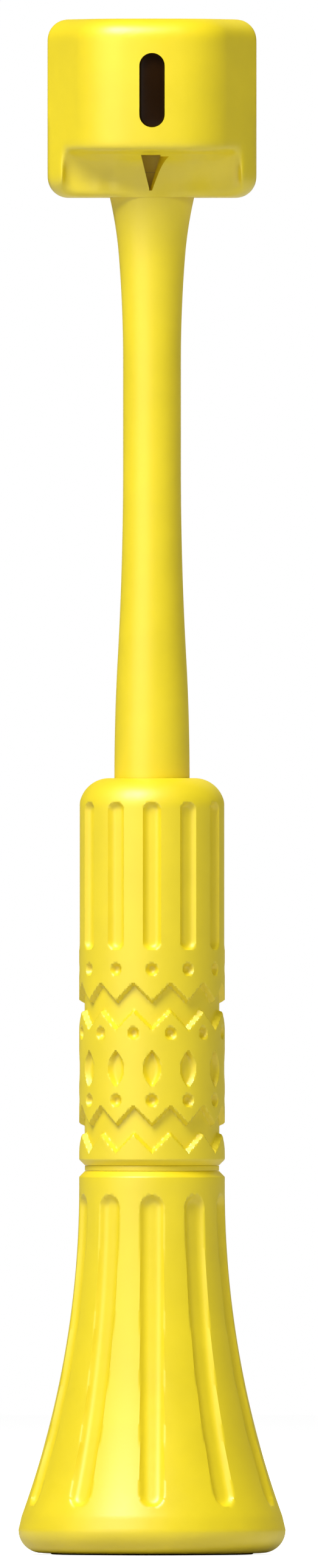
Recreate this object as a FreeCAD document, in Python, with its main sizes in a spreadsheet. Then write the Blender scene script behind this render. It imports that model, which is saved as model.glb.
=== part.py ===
import FreeCAD, Part
import math
import os
import re
import Sketcher

# A hand-held microchip scanner: a tall wand with a box head that holds the reading coil, a slim
# neck, a moulded grip with the electronics, and a weighted bell that holds the cell and unscrews.
# Millimetres, +Z up, the front of the head faces -Y, origin at the middle of the foot.

SIZES = [
    # alias, value, meaning
    ("bell_height", 79.9, "floor to the top face of the bell"),
    ("bell_radius", 27.9, "widest radius of the bell"),
    ("bell_round", 4.8, "radius of the bell's bottom edge"),
    ("bell_lift", 0.3, "bell rim above the floor"),
    ("bell_edge_step", 0.7, "bell narrower where the flare starts"),
    ("flare_foot_height", 8.0, "height where the flare starts"),
    ("flare_drop", 3.9, "end of the flare below the bell's top face"),
    ("flare_arc", 201.8, "radius of the flare's arc"),
    ("bell_flutes", 10, "flutes round the bell"),
    ("bell_flute_width", 5.0, "width of a bell flute"),
    ("bell_flute_low", 10.2, "lower end of the bell flutes"),
    ("bell_flute_drop", 5.0, "upper end of the bell flutes below the bell's top face"),
    ("bell_flute_depth", 1.2, "depth of a bell flute"),
    ("groove_depth", 0.86, "depth of the V groove at the joint line"),
    ("groove_slope", 1.2, "height of each sloped side of the groove"),
    ("lip_thickness", 1.5, "lip over the threaded insert"),
    ("insert_wall", 2.85, "wall of the insert below the lip"),
    ("bay_length", 33.9, "cylindrical bore below the bell's top face"),
    ("cover_ledge", 3.5, "width of the ledge over the bottom cover"),
    ("ballast_height", 10.6, "height of the ballast"),
    ("ballast_bore", 5.0, "radius of the hole in the ballast"),
    ("rim_width", 1.1, "flat rim round the bottom cover"),
    ("cover_thickness", 2.4, "thickness of the bottom cover"),
    ("foot_edge", 0.7, "edge of the cover round the rubber foot ring"),
    ("foot_width", 3.8, "width of the rubber foot ring"),
    ("foot_height", 1.9, "height of the rubber foot ring"),
    ("foot_sunk", 1.0, "depth of the foot ring in the cover"),
    ("base_screw_circle", 11.5, "radius of the circle of base screws"),
    ("close_gap", 0.05, "gap round screws and other closely fitted pieces"),
    ("screw_radius", 1.2, "shank radius of every screw"),
    ("screw_head_radius", 2.2, "head radius of every screw"),
    ("screw_head_height", 1.3, "head height of every screw"),
    ("base_screw_length", 8.0, "shank length of a base screw"),
    ("holder_wall", 1.35, "wall of the cell holder round the cell"),
    ("holder_floor", 2.0, "thickness of the cell holder's floor"),
    ("spring_plate_radius", 8.6, "radius of the spring plate"),
    ("spring_plate_thickness", 0.6, "thickness of the spring plate"),
    ("spring_radius", 4.6, "mean radius of the cell spring"),
    ("spring_wire", 0.45, "radius of the spring's wire"),
    ("spring_height", 6.0, "working height of the cell spring"),
    ("spring_pitch", 1.7, "rise of the spring in a turn"),
    ("cell_radius", 9.2, "radius of the cell"),
    ("cell_length", 65.0, "length of the cell with its nub"),
    ("contact_reach", 1.5, "cell's nub below the carrier"),
    ("cell_nub_radius", 3.0, "radius of the cell's nub"),
    ("cell_nub_height", 1.0, "height of the cell's nub"),
    ("cell_gap", 0.35, "gap round the cell"),
    ("insert_length", 32.0, "length of the threaded insert"),
    ("spigot_wall", 1.25, "wall of the threaded end of the insert"),
    ("spigot_length", 12.0, "thread above the bell's top face"),
    ("thread_gap", 0.1, "radial gap of the thread"),
    ("seal_thickness", 1.2, "height of the seal's seat"),
    ("seal_gap", 0.05, "gap above and below the seal"),
    ("grip_length", 80.7, "length of the grip"),
    ("shoulder_round", 6.3, "radius of the grip's shoulder"),
    ("sleeve_thickness", 2.2, "thickness of the moulded sleeve"),
    ("sleeve_top", 1.4, "thickness of the sleeve over the shoulder"),
    ("fit_gap", 0.1, "gap between pieces fixed together"),
    ("relief_depth", 0.95, "depth of the relief in the grip"),
    ("grip_flutes", 12, "flutes round the grip"),
    ("grip_flute_width", 3.8, "width of a grip flute"),
    ("grip_flute_drop", 4.9, "upper end of the grip flutes below the grip's top"),
    ("grip_flute_length", 30.9, "length of a grip flute"),
    ("zigzag_low", 2.9, "lowest valley of the lower zigzag above the grip's foot"),
    ("zigzag_pitch", 25.6, "rise from the lower zigzag to the upper one"),
    ("zigzag_width", 5.6, "height of the zigzag channel"),
    ("zigzag_swing", 3.8, "rise from a valley to a peak"),
    ("dot_radius", 1.1, "radius of a dot"),
    ("dot_low", 13.6, "lowest row of dots above the grip's foot"),
    ("dot_middle", 27.6, "middle row of dots above the grip's foot"),
    ("dot_high", 40.9, "highest row of dots above the grip's foot"),
    ("leaf_width", 3.8, "width of a leaf"),
    ("leaf_height", 7.5, "height of a leaf"),
    ("leaf_middle", 20.2, "middle of the leaves above the grip's foot"),
    ("core_wall", 2.0, "wall of the grip's core"),
    ("core_rise", 0.5, "core above the start of the grip's shoulder"),
    ("ledge_drop", 45.8, "underside of the carrier's ledge below the grip's top"),
    ("ledge_thickness", 2.0, "thickness of the carrier's ledge"),
    ("carrier_disc", 1.6, "thickness of the carrier's disc"),
    ("carrier_rail", 1.4, "thickness of a carrier rail"),
    ("contact_radius", 2.0, "radius of the positive contact"),
    ("board_width", 15.6, "width of the main board"),
    ("board_height", 22.0, "height of the main board"),
    ("board_thickness", 1.2, "thickness of every board"),
    ("board_offset", 1.0, "front face of the main board behind the axis"),
    ("chip_height", 1.4, "height of a chip"),
    ("switch_size", 6.0, "width of the tactile switch"),
    ("switch_height", 3.5, "height of the tactile switch"),
    ("plunger_radius", 1.6, "radius of the switch's plunger"),
    ("plunger_height", 0.5, "height of the switch's plunger when pressed"),
    ("buzzer_radius", 4.5, "radius of the buzzer"),
    ("buzzer_height", 3.0, "height of the buzzer"),
    ("button_width", 8.0, "width of the scan button"),
    ("button_height", 16.0, "height of the scan button"),
    ("button_drop", 23.8, "middle of the scan button below the grip's top"),
    ("button_proud", 0.7, "scan button proud of the grip"),
    ("button_gap", 0.08, "gap round the scan button"),
    ("button_travel", 0.8, "travel of the scan button"),
    ("button_flange", 1.0, "width and thickness of the button's flange"),
    ("cap_length", 9.4, "length of the grip's cap"),
    ("nut_radius", 9.2, "radius of the neck nut"),
    ("nut_height", 3.6, "height of the neck nut"),
    ("root_radius", 6.1, "radius of the neck's root in the grip"),
    ("neck_bore", 3.1, "bore of the neck"),
    ("liner_bore", 2.1, "bore of the neck's steel liner"),
    ("cable_radius", 1.8, "radius of the coil cable"),
    ("neck_length", 121.0, "grip to head"),
    ("neck_foot_radius", 7.85, "neck radius on the grip"),
    ("neck_bend_radius", 7.1, "neck radius at the change of curve"),
    ("neck_bend_height", 26.0, "height of the change of curve above the grip"),
    ("neck_lower_arc", 450.0, "radius of the neck's lower curve"),
    ("neck_upper_arc", 710.0, "radius of the neck's second curve"),
    ("neck_radius", 6.03, "radius of the neck's straight stretch"),
    ("neck_straight_low", 65.2, "lower end of the straight stretch above the grip"),
    ("neck_straight_drop", 34.3, "upper end of the straight stretch below the head"),
    ("neck_flare_radius", 6.85, "neck radius where the trumpet tightens"),
    ("neck_flare_drop", 13.0, "height where the trumpet tightens below the head"),
    ("neck_flare_arc", 277.0, "radius of the trumpet's first curve"),
    ("neck_trumpet_arc", 84.0, "radius of the trumpet's last curve"),
    ("neck_head_radius", 8.8, "neck radius under the head"),
    ("collar_radius", 10.2, "radius of the neck's top, held in the head"),
    ("collar_height", 3.0, "neck's top above the head's floor"),
    ("head_width", 43.6, "width of the head"),
    ("head_height", 37.2, "height of the head"),
    ("head_front", 19.55, "front of the head before the axis, at the edges of its flat middle"),
    ("head_back", 14.0, "back of the head behind the axis"),
    ("head_round", 4.3, "radius of the head's edges"),
    ("head_back_round", 6.0, "radius of the head's upright back edges"),
    ("nose_width", 31.0, "crease to crease across the nose"),
    ("nose_flat", 12.0, "width of the nose's flat middle"),
    ("nose_crease", 13.4, "crease before the axis"),
    ("nose_middle_arc", 40.0, "radius of the nose's middle"),
    ("nose_side_arc", 14.0, "radius of the nose's sides"),
    ("flank_end", 2.5, "end of the sloped flank before the axis"),
    ("head_wall", 2.2, "wall of the head"),
    ("scoop_width", 37.2, "width of the scoop under the nose"),
    ("scoop_low", 2.4, "lower edge of the scoop above the head's underside"),
    ("scoop_high", 9.6, "underside of the nose above the head's underside"),
    ("scoop_back", 8.0, "back of the scoop before the axis"),
    ("scoop_lip", 16.8, "upper edge of the scoop before the axis"),
    ("scoop_arc", 16.0, "radius of the scoop's hollow"),
    ("pocket_side", 14.0, "inner side of the scoop's end pockets from the middle"),
    ("pocket_back", 4.5, "back of the end pockets before the axis"),
    ("pocket_high", 8.6, "roof of the end pockets above the head's underside"),
    ("slot_width", 5.3, "width of the window slot"),
    ("slot_drop", 7.25, "top of the window slot below the head's top"),
    ("slot_rise", 2.65, "bottom of the window slot above the floor of the head's room"),
    ("window_thickness", 1.0, "thickness of the window in the slot"),
    ("window_gap", 0.05, "gap round the window"),
    ("window_flange", 1.0, "width and thickness of the window's flange"),
    ("notch_width", 4.2, "width of the notch"),
    ("notch_low", 1.5, "point of the notch above the head's underside"),
    ("notch_high", 8.5, "top of the notch above the head's underside"),
    ("notch_point", 0.6, "point of the notch left of the middle"),
    ("notch_back", 6.6, "floor of the notch before the axis"),
    ("coil_side_gap", 3.65, "coil bobbin in from the middle of the flank"),
    ("coil_end_gap", 1.3, "gap above and below the coil bobbin"),
    ("coil_flange", 0.6, "thickness of a bobbin flange"),
    ("coil_depth", 6.0, "depth of the bobbin, front to back"),
    ("coil_front", 7.5, "front of the bobbin before the axis"),
    ("coil_section", 2.0, "radial size of the bobbin"),
    ("winding_depth", 1.2, "radial size of the winding"),
    ("winding_gap", 0.1, "gap under the winding"),
    ("winding_sunk", 0.15, "winding below the edges of the bobbin"),
    ("bobbin_foot_radius", 0.95, "radius of a bobbin foot"),
    ("bobbin_foot_side", 5.0, "bobbin feet to each side of the middle"),
    ("head_board_offset", 2.5, "front face of the head board behind the axis"),
    ("head_board_side_gap", 0.4, "gap between the head board and the bosses"),
    ("head_board_end_gap", 1.4, "gap above and below the head board"),
    ("led_size", 2.0, "width of a light"),
    ("led_height", 1.5, "height of a light"),
    ("led_pitch", 5.0, "spacing of the lights"),
    ("light_gap", 0.2, "gap between the lights and the light pipe"),
    ("pipe_gap", 1.0, "light pipe short of the bobbin's hole"),
    ("head_screw_side", 4.6, "head screws in from the head's side"),
    ("head_screw_low", 15.6, "lower head screws above the head's underside"),
    ("head_screw_drop", 6.0, "upper head screws below the head's top"),
    ("head_screw_sink", 4.0, "seat of the head screws in from the head's back"),
    ("head_screw_reach", 5.0, "point of the head screws before the axis"),
    ("boss_radius", 2.8, "radius of a screw boss"),
    ("post_radius", 1.5, "radius of a board post"),
]
ALIASES = {alias for alias, value, meaning in SIZES}

# Sizes that follow from others: what lies inside carries what lies round it.
DERIVED = {
    "cell_bore": "cell_radius + cell_gap",
    "ledge_bore": "cell_radius + 2 * cell_gap",
    "holder_radius": "cell_bore + holder_wall",
    "insert_radius": "cell_bore + insert_wall",
    "spigot_radius": "cell_bore + spigot_wall",
    "thread_bore": "spigot_radius + thread_gap",
    "core_radius": "thread_bore + core_wall",
    "grip_radius": "core_radius + fit_gap + sleeve_thickness",
    "flare_foot_radius": "bell_radius - bell_edge_step",
    "cover_radius": "bell_radius - bell_round - rim_width - fit_gap",
    "foot_outer": "cover_radius - foot_edge",
    "foot_inner": "foot_outer - foot_width",
    "ballast_radius": "cover_radius - cover_ledge",
    "cover_low": "foot_height - foot_sunk",
    "ledge_top": "cover_low + cover_thickness",
    "ballast_low": "ledge_top + fit_gap",
    "holder_low": "ballast_low + ballast_height",
    "lip_low": "bell_height - lip_thickness",
    "insert_low": "bell_height + spigot_length - insert_length",
    "grip_low": "bell_height + seal_thickness",
    "grip_high": "grip_low + grip_length",
    "ledge_low": "grip_high - ledge_drop",
    "carrier_low": "ledge_low + ledge_thickness",
    "board_low": "carrier_low + carrier_disc",
    "cell_low": "carrier_low - contact_reach - cell_length",
    "plate_low": "cell_low - spring_height - spring_plate_thickness",
    "button_z": "grip_high - button_drop",
    "cap_high": "grip_high - sleeve_top - fit_gap",
    "cap_low": "cap_high - cap_length",
    "core_high": "grip_high - shoulder_round + core_rise",
    "nut_low": "cap_low - nut_height",
    "head_low": "grip_high + neck_length",
    "head_high": "head_low + head_height",
    "collar_high": "head_low + head_wall + collar_height",
    "room_low": "head_low + scoop_high + head_wall",
    "room_height": "head_high - head_wall - room_low",
    "slot_height": "head_high - slot_drop - room_low - slot_rise",
    "slot_z": "room_low + slot_rise + slot_height / 2",
    "coil_z": "room_low + room_height / 2",
    "coil_width": "(nose_width + head_width) / 2 - 2 * coil_side_gap",
    "coil_height": "room_height - 2 * coil_end_gap",
    "head_board_width": "head_width - 2 * head_screw_side - 2 * boss_radius - 2 * head_board_side_gap",
    "head_board_height": "room_height - 2 * head_board_end_gap",
    "pipe_height": "coil_height - 2 * coil_section - 2 * pipe_gap",
    "head_screw_x": "head_width / 2 - head_screw_side",
    "head_screw_back": "head_back - head_screw_sink",
}

document = FreeCAD.newDocument("microchip_scanner")
sheet = document.addObject("Spreadsheet::Sheet", "Sizes")
for row, (alias, value, meaning) in enumerate(SIZES, start=1):
    sheet.set("A%d" % row, meaning)
    sheet.set("B%d" % row, str(value))
    sheet.setAlias("B%d" % row, alias)
document.recompute()

BEYOND = "60"  # further than any surface of the scanner lies from its axis
SAME = 0.001  # heights closer than this are one height
PLUS_Y = FreeCAD.Rotation(FreeCAD.Vector(1, 0, 0), -90)
nodes = {}


# ---- helpers: every size is an expression of the sheet's words ----

def bound(text):
    """The expression with every derived word worked out and every word of the sheet as its cell."""
    def replaced(match):
        word = match.group()
        if word in DERIVED:
            return "(" + bound(DERIVED[word]) + ")"
        return "Sizes." + word if word in ALIASES else word
    return re.sub(r"[a-z]\w*", replaced, text)


def number(text):
    """The expression's value in millimetres."""
    value = sheet.evalExpression(bound(text))
    return float(getattr(value, "Value", value))


def node(name, item):
    """Names the finished sub-part."""
    item.Label = name
    nodes[name] = item
    return item


def drive(item, **expressions):
    """Binds properties of an object to expressions."""
    for name, text in expressions.items():
        item.setExpression(name, bound(text))


def move(item, x="0", y="0", z="0"):
    """Binds an object's place."""
    for axis, text in (("x", x), ("y", y), ("z", z)):
        if text != "0":
            item.setExpression("Placement.Base." + axis, bound(text))


def disc(name, radius, height, z="0", x="0", y="0", along_y=False):
    """A cylinder along Z, or along Y."""
    item = document.addObject("Part::Cylinder", name)
    if along_y:
        item.Placement = FreeCAD.Placement(FreeCAD.Vector(), PLUS_Y)
    drive(item, Radius=radius, Height=height)
    move(item, x, y, z)
    return item


def block(name, x, y, z, length, depth, height):
    """A box from its lowest corner."""
    item = document.addObject("Part::Box", name)
    drive(item, Length=length, Width=depth, Height=height)
    move(item, x, y, z)
    return item


def fuse(name, *items):
    item = document.addObject("Part::MultiFuse", name)
    item.Shapes = list(items)
    return item


def group(name, *items):
    """Separate solids that share a node."""
    item = document.addObject("Part::Compound", name)
    item.Links = list(items)
    return item


def cut(name, base, *tools):
    item = document.addObject("Part::Cut", name)
    item.Base = base
    item.Tool = tools[0] if len(tools) == 1 else fuse(name + "_tools", *tools)
    return item


def common(name, base, tool):
    item = document.addObject("Part::Common", name)
    item.Base = base
    item.Tool = tool
    return item


def new_body(name):
    return document.addObject("PartDesign::Body", name)


def new_sketch(body, role, outline):
    """A closed outline on one of the body's origin planes. Each corner is (across, up), and a third
    and fourth value make the edge that leaves it an arc: its radius, and 1 if it turns left."""
    sketch = body.newObject("Sketcher::SketchObject", body.Name + "_sketch")
    plane = [item for item in body.Origin.OriginFeatures if item.Role == role][0]
    sketch.AttachmentSupport = [(plane, "")]
    sketch.MapMode = "FlatFace"
    points = [FreeCAD.Vector(number(corner[0]), number(corner[1]), 0) for corner in outline]
    ends = []
    for index, corner in enumerate(outline):
        start, finish = points[index], points[(index + 1) % len(points)]
        if len(corner) == 2:
            sketch.addGeometry(Part.LineSegment(start, finish))
            ends.append((1, 2))
            continue
        left, radius = corner[3], number(corner[2])
        chord = finish - start
        half = chord.Length / 2
        across = FreeCAD.Vector(-chord.y, chord.x, 0).normalize() * left
        centre = (start + finish) / 2 + across * math.sqrt(max(radius ** 2 - half ** 2, 0))
        first, last = (start, finish) if left > 0 else (finish, start)
        first_angle = math.atan2(first.y - centre.y, first.x - centre.x)
        last_angle = math.atan2(last.y - centre.y, last.x - centre.x)
        circle = Part.Circle(centre, FreeCAD.Vector(0, 0, 1), radius)
        sketch.addGeometry(Part.ArcOfCircle(circle, first_angle, last_angle))
        ends.append((1, 2) if left > 0 else (2, 1))
    for index, corner in enumerate(outline):
        after = (index + 1) % len(outline)
        sketch.addConstraint(Sketcher.Constraint("Coincident", index, ends[index][1], after, ends[after][0]))
        pin_corner(sketch, index, ends[index][0], points[index], corner)
        if len(corner) > 2:
            bind_constraint(sketch, ("Radius", index, number(corner[2])), corner[2])
    return sketch


def bind_constraint(sketch, terms, text):
    index = sketch.addConstraint(Sketcher.Constraint(*terms))
    sketch.setExpression("Constraints[%d]" % index, bound(text))


def pin_corner(sketch, edge, end, point, corner):
    """Ties one corner to the sketch's origin."""
    ties = (("DistanceX", point.x, corner[0], -2), ("DistanceY", point.y, corner[1], -1))
    for kind, place, text, axis in ties:
        if text == "0":
            sketch.addConstraint(Sketcher.Constraint("PointOnObject", edge, end, axis))
        elif place > 0:
            bind_constraint(sketch, (kind, -1, 1, edge, end, place), text)
        else:
            bind_constraint(sketch, (kind, edge, end, -1, 1, -place), "-(" + text + ")")


def turned(name, outline):
    """A body of revolution about Z; its outline is (radius, height)."""
    body = new_body(name)
    sketch = new_sketch(body, "XZ_Plane", outline)
    spin = body.newObject("PartDesign::Revolution", name + "_spin")
    spin.Profile = sketch
    spin.ReferenceAxis = (sketch, ["V_Axis"])
    spin.Angle = 360
    return body


def padded(name, role, outline, length, both_ways=False, z="0", y="0"):
    """A body padded from an outline; on the XZ plane it grows towards -Y."""
    body = new_body(name)
    sketch = new_sketch(body, role, outline)
    pad = body.newObject("PartDesign::Pad", name + "_pad")
    pad.Profile = sketch
    if both_ways:
        pad.SideType = "Symmetric"
    drive(pad, Length=length)
    move(body, y=y, z=z)
    return body


def star(name, outline, count, half_turn=False):
    """An outline on the XZ plane padded from the axis outwards and repeated round it."""
    body = padded(name, "XZ_Plane", outline, BEYOND)
    pad = body.Tip
    pattern = body.newObject("PartDesign::PolarPattern", name + "_round")
    pattern.Originals = [pad]
    axis = [item for item in body.Origin.OriginFeatures if item.Role == "Z_Axis"][0]
    pattern.Axis = (axis, [""])
    pattern.Angle = 360
    drive(pattern, Occurrences=count)
    body.Tip = pattern
    if half_turn:
        turn = FreeCAD.Rotation(FreeCAD.Vector(0, 0, 1), 180 / number(count))
        body.Placement = FreeCAD.Placement(FreeCAD.Vector(), turn)
        body.setExpression("Placement.Rotation.Angle", bound("180 deg / (%s)" % count))
    return body


def obround(middle_z, width, height):
    """An upright obround's outline."""
    side = "(%s) / 2" % width
    high = "%s + (%s) / 2 - %s" % (middle_z, height, side)
    low = "%s - (%s) / 2 + %s" % (middle_z, height, side)
    top = "%s + (%s) / 2" % (middle_z, height)
    bottom = "%s - (%s) / 2" % (middle_z, height)
    return [
        (side, low),
        (side, high, side, 1),
        ("0", top, side, 1),
        ("-" + side, high),
        ("-" + side, low, side, 1),
        ("0", bottom, side, 1),
    ]


def flat_obround(middle_z, width, height):
    """An obround's outline that is wider than it is tall."""
    side = "(%s) / 2" % height
    reach = "((%s) / 2 - %s)" % (width, side)
    high = "%s + %s" % (middle_z, side)
    low = "%s - %s" % (middle_z, side)
    return [
        ("-" + reach, low),
        (reach, low, side, 1),
        (reach + " + " + side, middle_z, side, 1),
        (reach, high),
        ("-" + reach, high, side, 1),
        ("-" + reach + " - " + side, middle_z, side, 1),
    ]


def face_at(feature, z):
    """The name of a feature's flat face at a height."""
    for index, face in enumerate(feature.Shape.Faces, start=1):
        if abs(face.CenterOfMass.z - z) < SAME and face.BoundBox.ZLength < SAME:
            return "Face%d" % index
    raise ValueError("no face at %s" % z)


# ---- the bell and what it holds ----

def make_bell():
    """The flared and fluted shell, open below, with a lip at the top that holds the insert."""
    neck_z = "bell_height - groove_slope"
    bore = "(insert_radius + fit_gap)"
    wide_bore = "(ballast_radius + fit_gap)"
    blank = turned("bell_blank", [
        ("cover_radius + fit_gap", "bell_lift"),
        ("bell_radius - bell_round", "bell_lift", "bell_round", 1),
        ("bell_radius", "bell_lift + bell_round"),
        ("flare_foot_radius", "flare_foot_height", "flare_arc", -1),
        ("grip_radius", "bell_height - flare_drop"),
        ("grip_radius", neck_z),
        ("grip_radius - groove_depth", "bell_height"),
        ("thread_bore", "bell_height"),
        ("thread_bore", "lip_low"),
        (bore, "lip_low"),
        (bore, "bell_height - bay_length"),
        (wide_bore, "holder_low + fit_gap"),
        (wide_bore, "ledge_top"),
        ("cover_radius + fit_gap", "ledge_top"),
    ])
    floor = turned("bell_flute_floor", [
        ("0", "bell_lift"),
        ("bell_radius - bell_flute_depth", "bell_lift"),
        ("flare_foot_radius - bell_flute_depth", "flare_foot_height", "flare_arc", -1),
        ("grip_radius - bell_flute_depth", "bell_height - flare_drop"),
        ("grip_radius - bell_flute_depth", "bell_height"),
        ("0", "bell_height"),
    ])
    flute_top = "bell_height - bell_flute_drop"
    flute_middle = "(bell_flute_low + %s) / 2" % flute_top
    outline = obround(flute_middle, "bell_flute_width", "(%s - bell_flute_low)" % flute_top)
    flutes = star("bell_flutes", outline, "bell_flutes")
    node("bell_shell", cut("bell_shell", blank, cut("bell_flute_cutters", flutes, floor)))


def make_insert():
    """The threaded insert that the grip screws onto; its thread is drawn smooth."""
    node("threaded_insert", turned("threaded_insert", [
        ("cell_bore", "insert_low"),
        ("insert_radius", "insert_low"),
        ("insert_radius", "lip_low"),
        ("spigot_radius", "lip_low"),
        ("spigot_radius", "bell_height + spigot_length"),
        ("cell_bore", "bell_height + spigot_length"),
    ]))


def ring_of_screws(name, radius, height, z):
    """Three cylinders on the circle of the base screws."""
    items = []
    for index in range(3):
        turn = "(%d deg)" % (index * 120 + 90)
        x = "base_screw_circle * cos%s" % turn
        y = "base_screw_circle * sin%s" % turn
        items.append(disc("%s_%d" % (name, index), radius, height, z, x, y))
    return items


def make_foot():
    """The ballast, the bottom cover, its foot ring and its screws."""
    shanks = ring_of_screws("base_hole", "screw_radius + close_gap", BEYOND, "cover_low")
    sinks = ring_of_screws("base_sink", "screw_head_radius + close_gap", "screw_head_height", "cover_low")
    ballast = disc("ballast_blank", "ballast_radius", "ballast_height", "ballast_low")
    middle = disc("ballast_hole", "ballast_bore", "ballast_height", "ballast_low")
    node("ballast_weight", cut("ballast_weight", ballast, middle, *shanks))
    cover = disc("cover_blank", "cover_radius", "cover_thickness", "cover_low")
    seat_outer = disc("foot_seat_outer", "foot_outer + close_gap", "foot_sunk", "cover_low")
    seat_inner = disc("foot_seat_inner", "foot_inner - close_gap", "foot_sunk", "cover_low")
    seat = cut("foot_seat", seat_outer, seat_inner)
    node("base_cover", cut("base_cover", cover, seat, *(shanks + sinks)))
    foot_outer = disc("foot_outer_disc", "foot_outer", "foot_height")
    foot_inner = disc("foot_inner_disc", "foot_inner", "foot_height")
    node("foot_ring", cut("foot_ring", foot_outer, foot_inner))
    heads = ring_of_screws("base_screw_head", "screw_head_radius", "screw_head_height", "cover_low")
    pins = ring_of_screws("base_screw_pin", "screw_radius", "base_screw_length", "cover_low")
    screws = [fuse("base_screw_%d" % index, *pair) for index, pair in enumerate(zip(heads, pins))]
    node("base_screws", group("base_screws", *screws))


def make_cell():
    """The cell, its holder and the sprung contact under it."""
    node("cell_holder", turned("cell_holder", [
        ("0", "plate_low - holder_floor"),
        ("holder_radius - core_wall", "plate_low - holder_floor"),
        ("holder_radius - core_wall", "holder_low"),
        ("holder_radius", "holder_low"),
        ("holder_radius", "insert_low"),
        ("cell_bore", "insert_low"),
        ("cell_bore", "plate_low"),
        ("0", "plate_low"),
    ]))
    node("spring_plate", disc("spring_plate", "spring_plate_radius", "spring_plate_thickness", "plate_low"))
    make_spring()
    can = disc("cell_can", "cell_radius", "cell_length - cell_nub_height", "cell_low")
    nub = disc("cell_nub", "cell_nub_radius", "cell_nub_height", "cell_low + cell_length - cell_nub_height")
    node("battery_cell", fuse("battery_cell", can, nub))


def make_spring():
    """A coil of round wire between the plate and the cell."""
    body = new_body("battery_spring")
    sketch = body.newObject("Sketcher::SketchObject", "spring_sketch")
    plane = [item for item in body.Origin.OriginFeatures if item.Role == "XZ_Plane"][0]
    sketch.AttachmentSupport = [(plane, "")]
    sketch.MapMode = "FlatFace"
    start_z = "cell_low - spring_height + spring_wire"
    centre = FreeCAD.Vector(number("spring_radius"), number(start_z), 0)
    sketch.addGeometry(Part.Circle(centre, FreeCAD.Vector(0, 0, 1), number("spring_wire")))
    bind_constraint(sketch, ("DistanceX", -1, 1, 0, 3, centre.x), "spring_radius")
    bind_constraint(sketch, ("DistanceY", -1, 1, 0, 3, centre.y), start_z)
    bind_constraint(sketch, ("Radius", 0, number("spring_wire")), "spring_wire")
    coil = body.newObject("PartDesign::AdditiveHelix", "spring_coil")
    coil.Profile = sketch
    coil.ReferenceAxis = (sketch, ["V_Axis"])
    coil.Mode = "pitch-height-angle"
    drive(coil, Pitch="spring_pitch", Height="spring_height - 2 * spring_wire")
    node("battery_spring", body)


def make_seal():
    """The ring in the floor of the groove, between the bell and the grip."""
    node("joint_seal", turned("joint_seal", [
        ("thread_bore", "bell_height + seal_gap"),
        ("grip_radius - groove_depth", "bell_height + seal_gap"),
        ("grip_radius - groove_depth", "grip_low - seal_gap"),
        ("thread_bore", "grip_low - seal_gap"),
    ]))


# ---- the grip ----

def button_hole(name, extra):
    """An upright obround hole through the rear of the grip."""
    width = "button_width + 2 * (%s)" % extra
    height = "button_height + 2 * (%s)" % extra
    outline = obround("button_z", width, height)
    return padded(name, "XZ_Plane", outline, "grip_radius", y="grip_radius + button_flange")


def zigzag(name, low):
    """A zigzag channel round the grip, from one tooth."""
    half = "(grip_radius + relief_depth) * tan(180 deg / grip_flutes)"
    return star(name, [
        ("-" + half, low + " + zigzag_swing"),
        ("0", low),
        (half, low + " + zigzag_swing"),
        (half, low + " + zigzag_swing + zigzag_width"),
        ("0", low + " + zigzag_width"),
        ("-" + half, low + " + zigzag_swing + zigzag_width"),
    ], "grip_flutes")


def leaf(middle_z):
    """A leaf: two arcs that meet above and below."""
    arc = "((leaf_height / 2) ^ 2 + (leaf_width / 2) ^ 2) / leaf_width"
    return [
        ("0", middle_z + " - leaf_height / 2", arc, 1),
        ("0", middle_z + " + leaf_height / 2", arc, 1),
    ]


def make_sleeve():
    """The soft sleeve with flutes, zigzags, leaves and dots moulded into it."""
    inner = "core_radius + fit_gap"
    small = "thread_bore + fit_gap"
    blank = turned("sleeve_blank", [
        (inner, "grip_low"),
        ("grip_radius - groove_depth", "grip_low"),
        ("grip_radius", "grip_low + groove_slope"),
        ("grip_radius", "grip_high - shoulder_round", "shoulder_round", 1),
        ("grip_radius - shoulder_round", "grip_high"),
        ("root_radius + fit_gap", "grip_high"),
        ("root_radius + fit_gap", "grip_high - sleeve_top"),
        (small, "grip_high - sleeve_top"),
        (small, "core_high + fit_gap"),
        (inner, "core_high + fit_gap"),
    ])
    flute_middle = "grip_high - grip_flute_drop - grip_flute_length / 2"
    relief = [
        star("grip_flutes", obround(flute_middle, "grip_flute_width", "grip_flute_length"), "grip_flutes"),
        zigzag("zigzag_lower", "grip_low + zigzag_low"),
        zigzag("zigzag_upper", "grip_low + zigzag_low + zigzag_pitch"),
        star("leaves", leaf("grip_low + leaf_middle"), "grip_flutes"),
        star("dots_lower", dot_outline("grip_low + dot_low"), "grip_flutes"),
        star("dots_middle", dot_outline("grip_low + dot_middle"), "grip_flutes", half_turn=True),
        star("dots_upper", dot_outline("grip_low + dot_high"), "grip_flutes"),
    ]
    floor = disc("relief_floor", "grip_radius - relief_depth", "grip_length", "grip_low")
    cutters = cut("relief_cutters", fuse("relief", *relief), floor)
    node("grip_sleeve", cut("grip_sleeve", blank, cutters, button_hole("sleeve_hole", "button_gap")))


def dot_outline(middle_z):
    """A dot: two half circles."""
    return [
        ("0", middle_z + " - dot_radius", "dot_radius", 1),
        ("0", middle_z + " + dot_radius", "dot_radius", 1),
    ]


def make_core():
    """The grip's hard core, with the ledge that carries the electronics."""
    blank = turned("core_blank", [
        ("thread_bore", "grip_low"),
        ("core_radius", "grip_low"),
        ("core_radius", "core_high"),
        ("thread_bore", "core_high"),
        ("thread_bore", "carrier_low"),
        ("ledge_bore", "carrier_low"),
        ("ledge_bore", "ledge_low"),
        ("thread_bore", "ledge_low"),
    ])
    node("grip_core", cut("grip_core", blank, button_hole("core_hole", "button_gap")))


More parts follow.
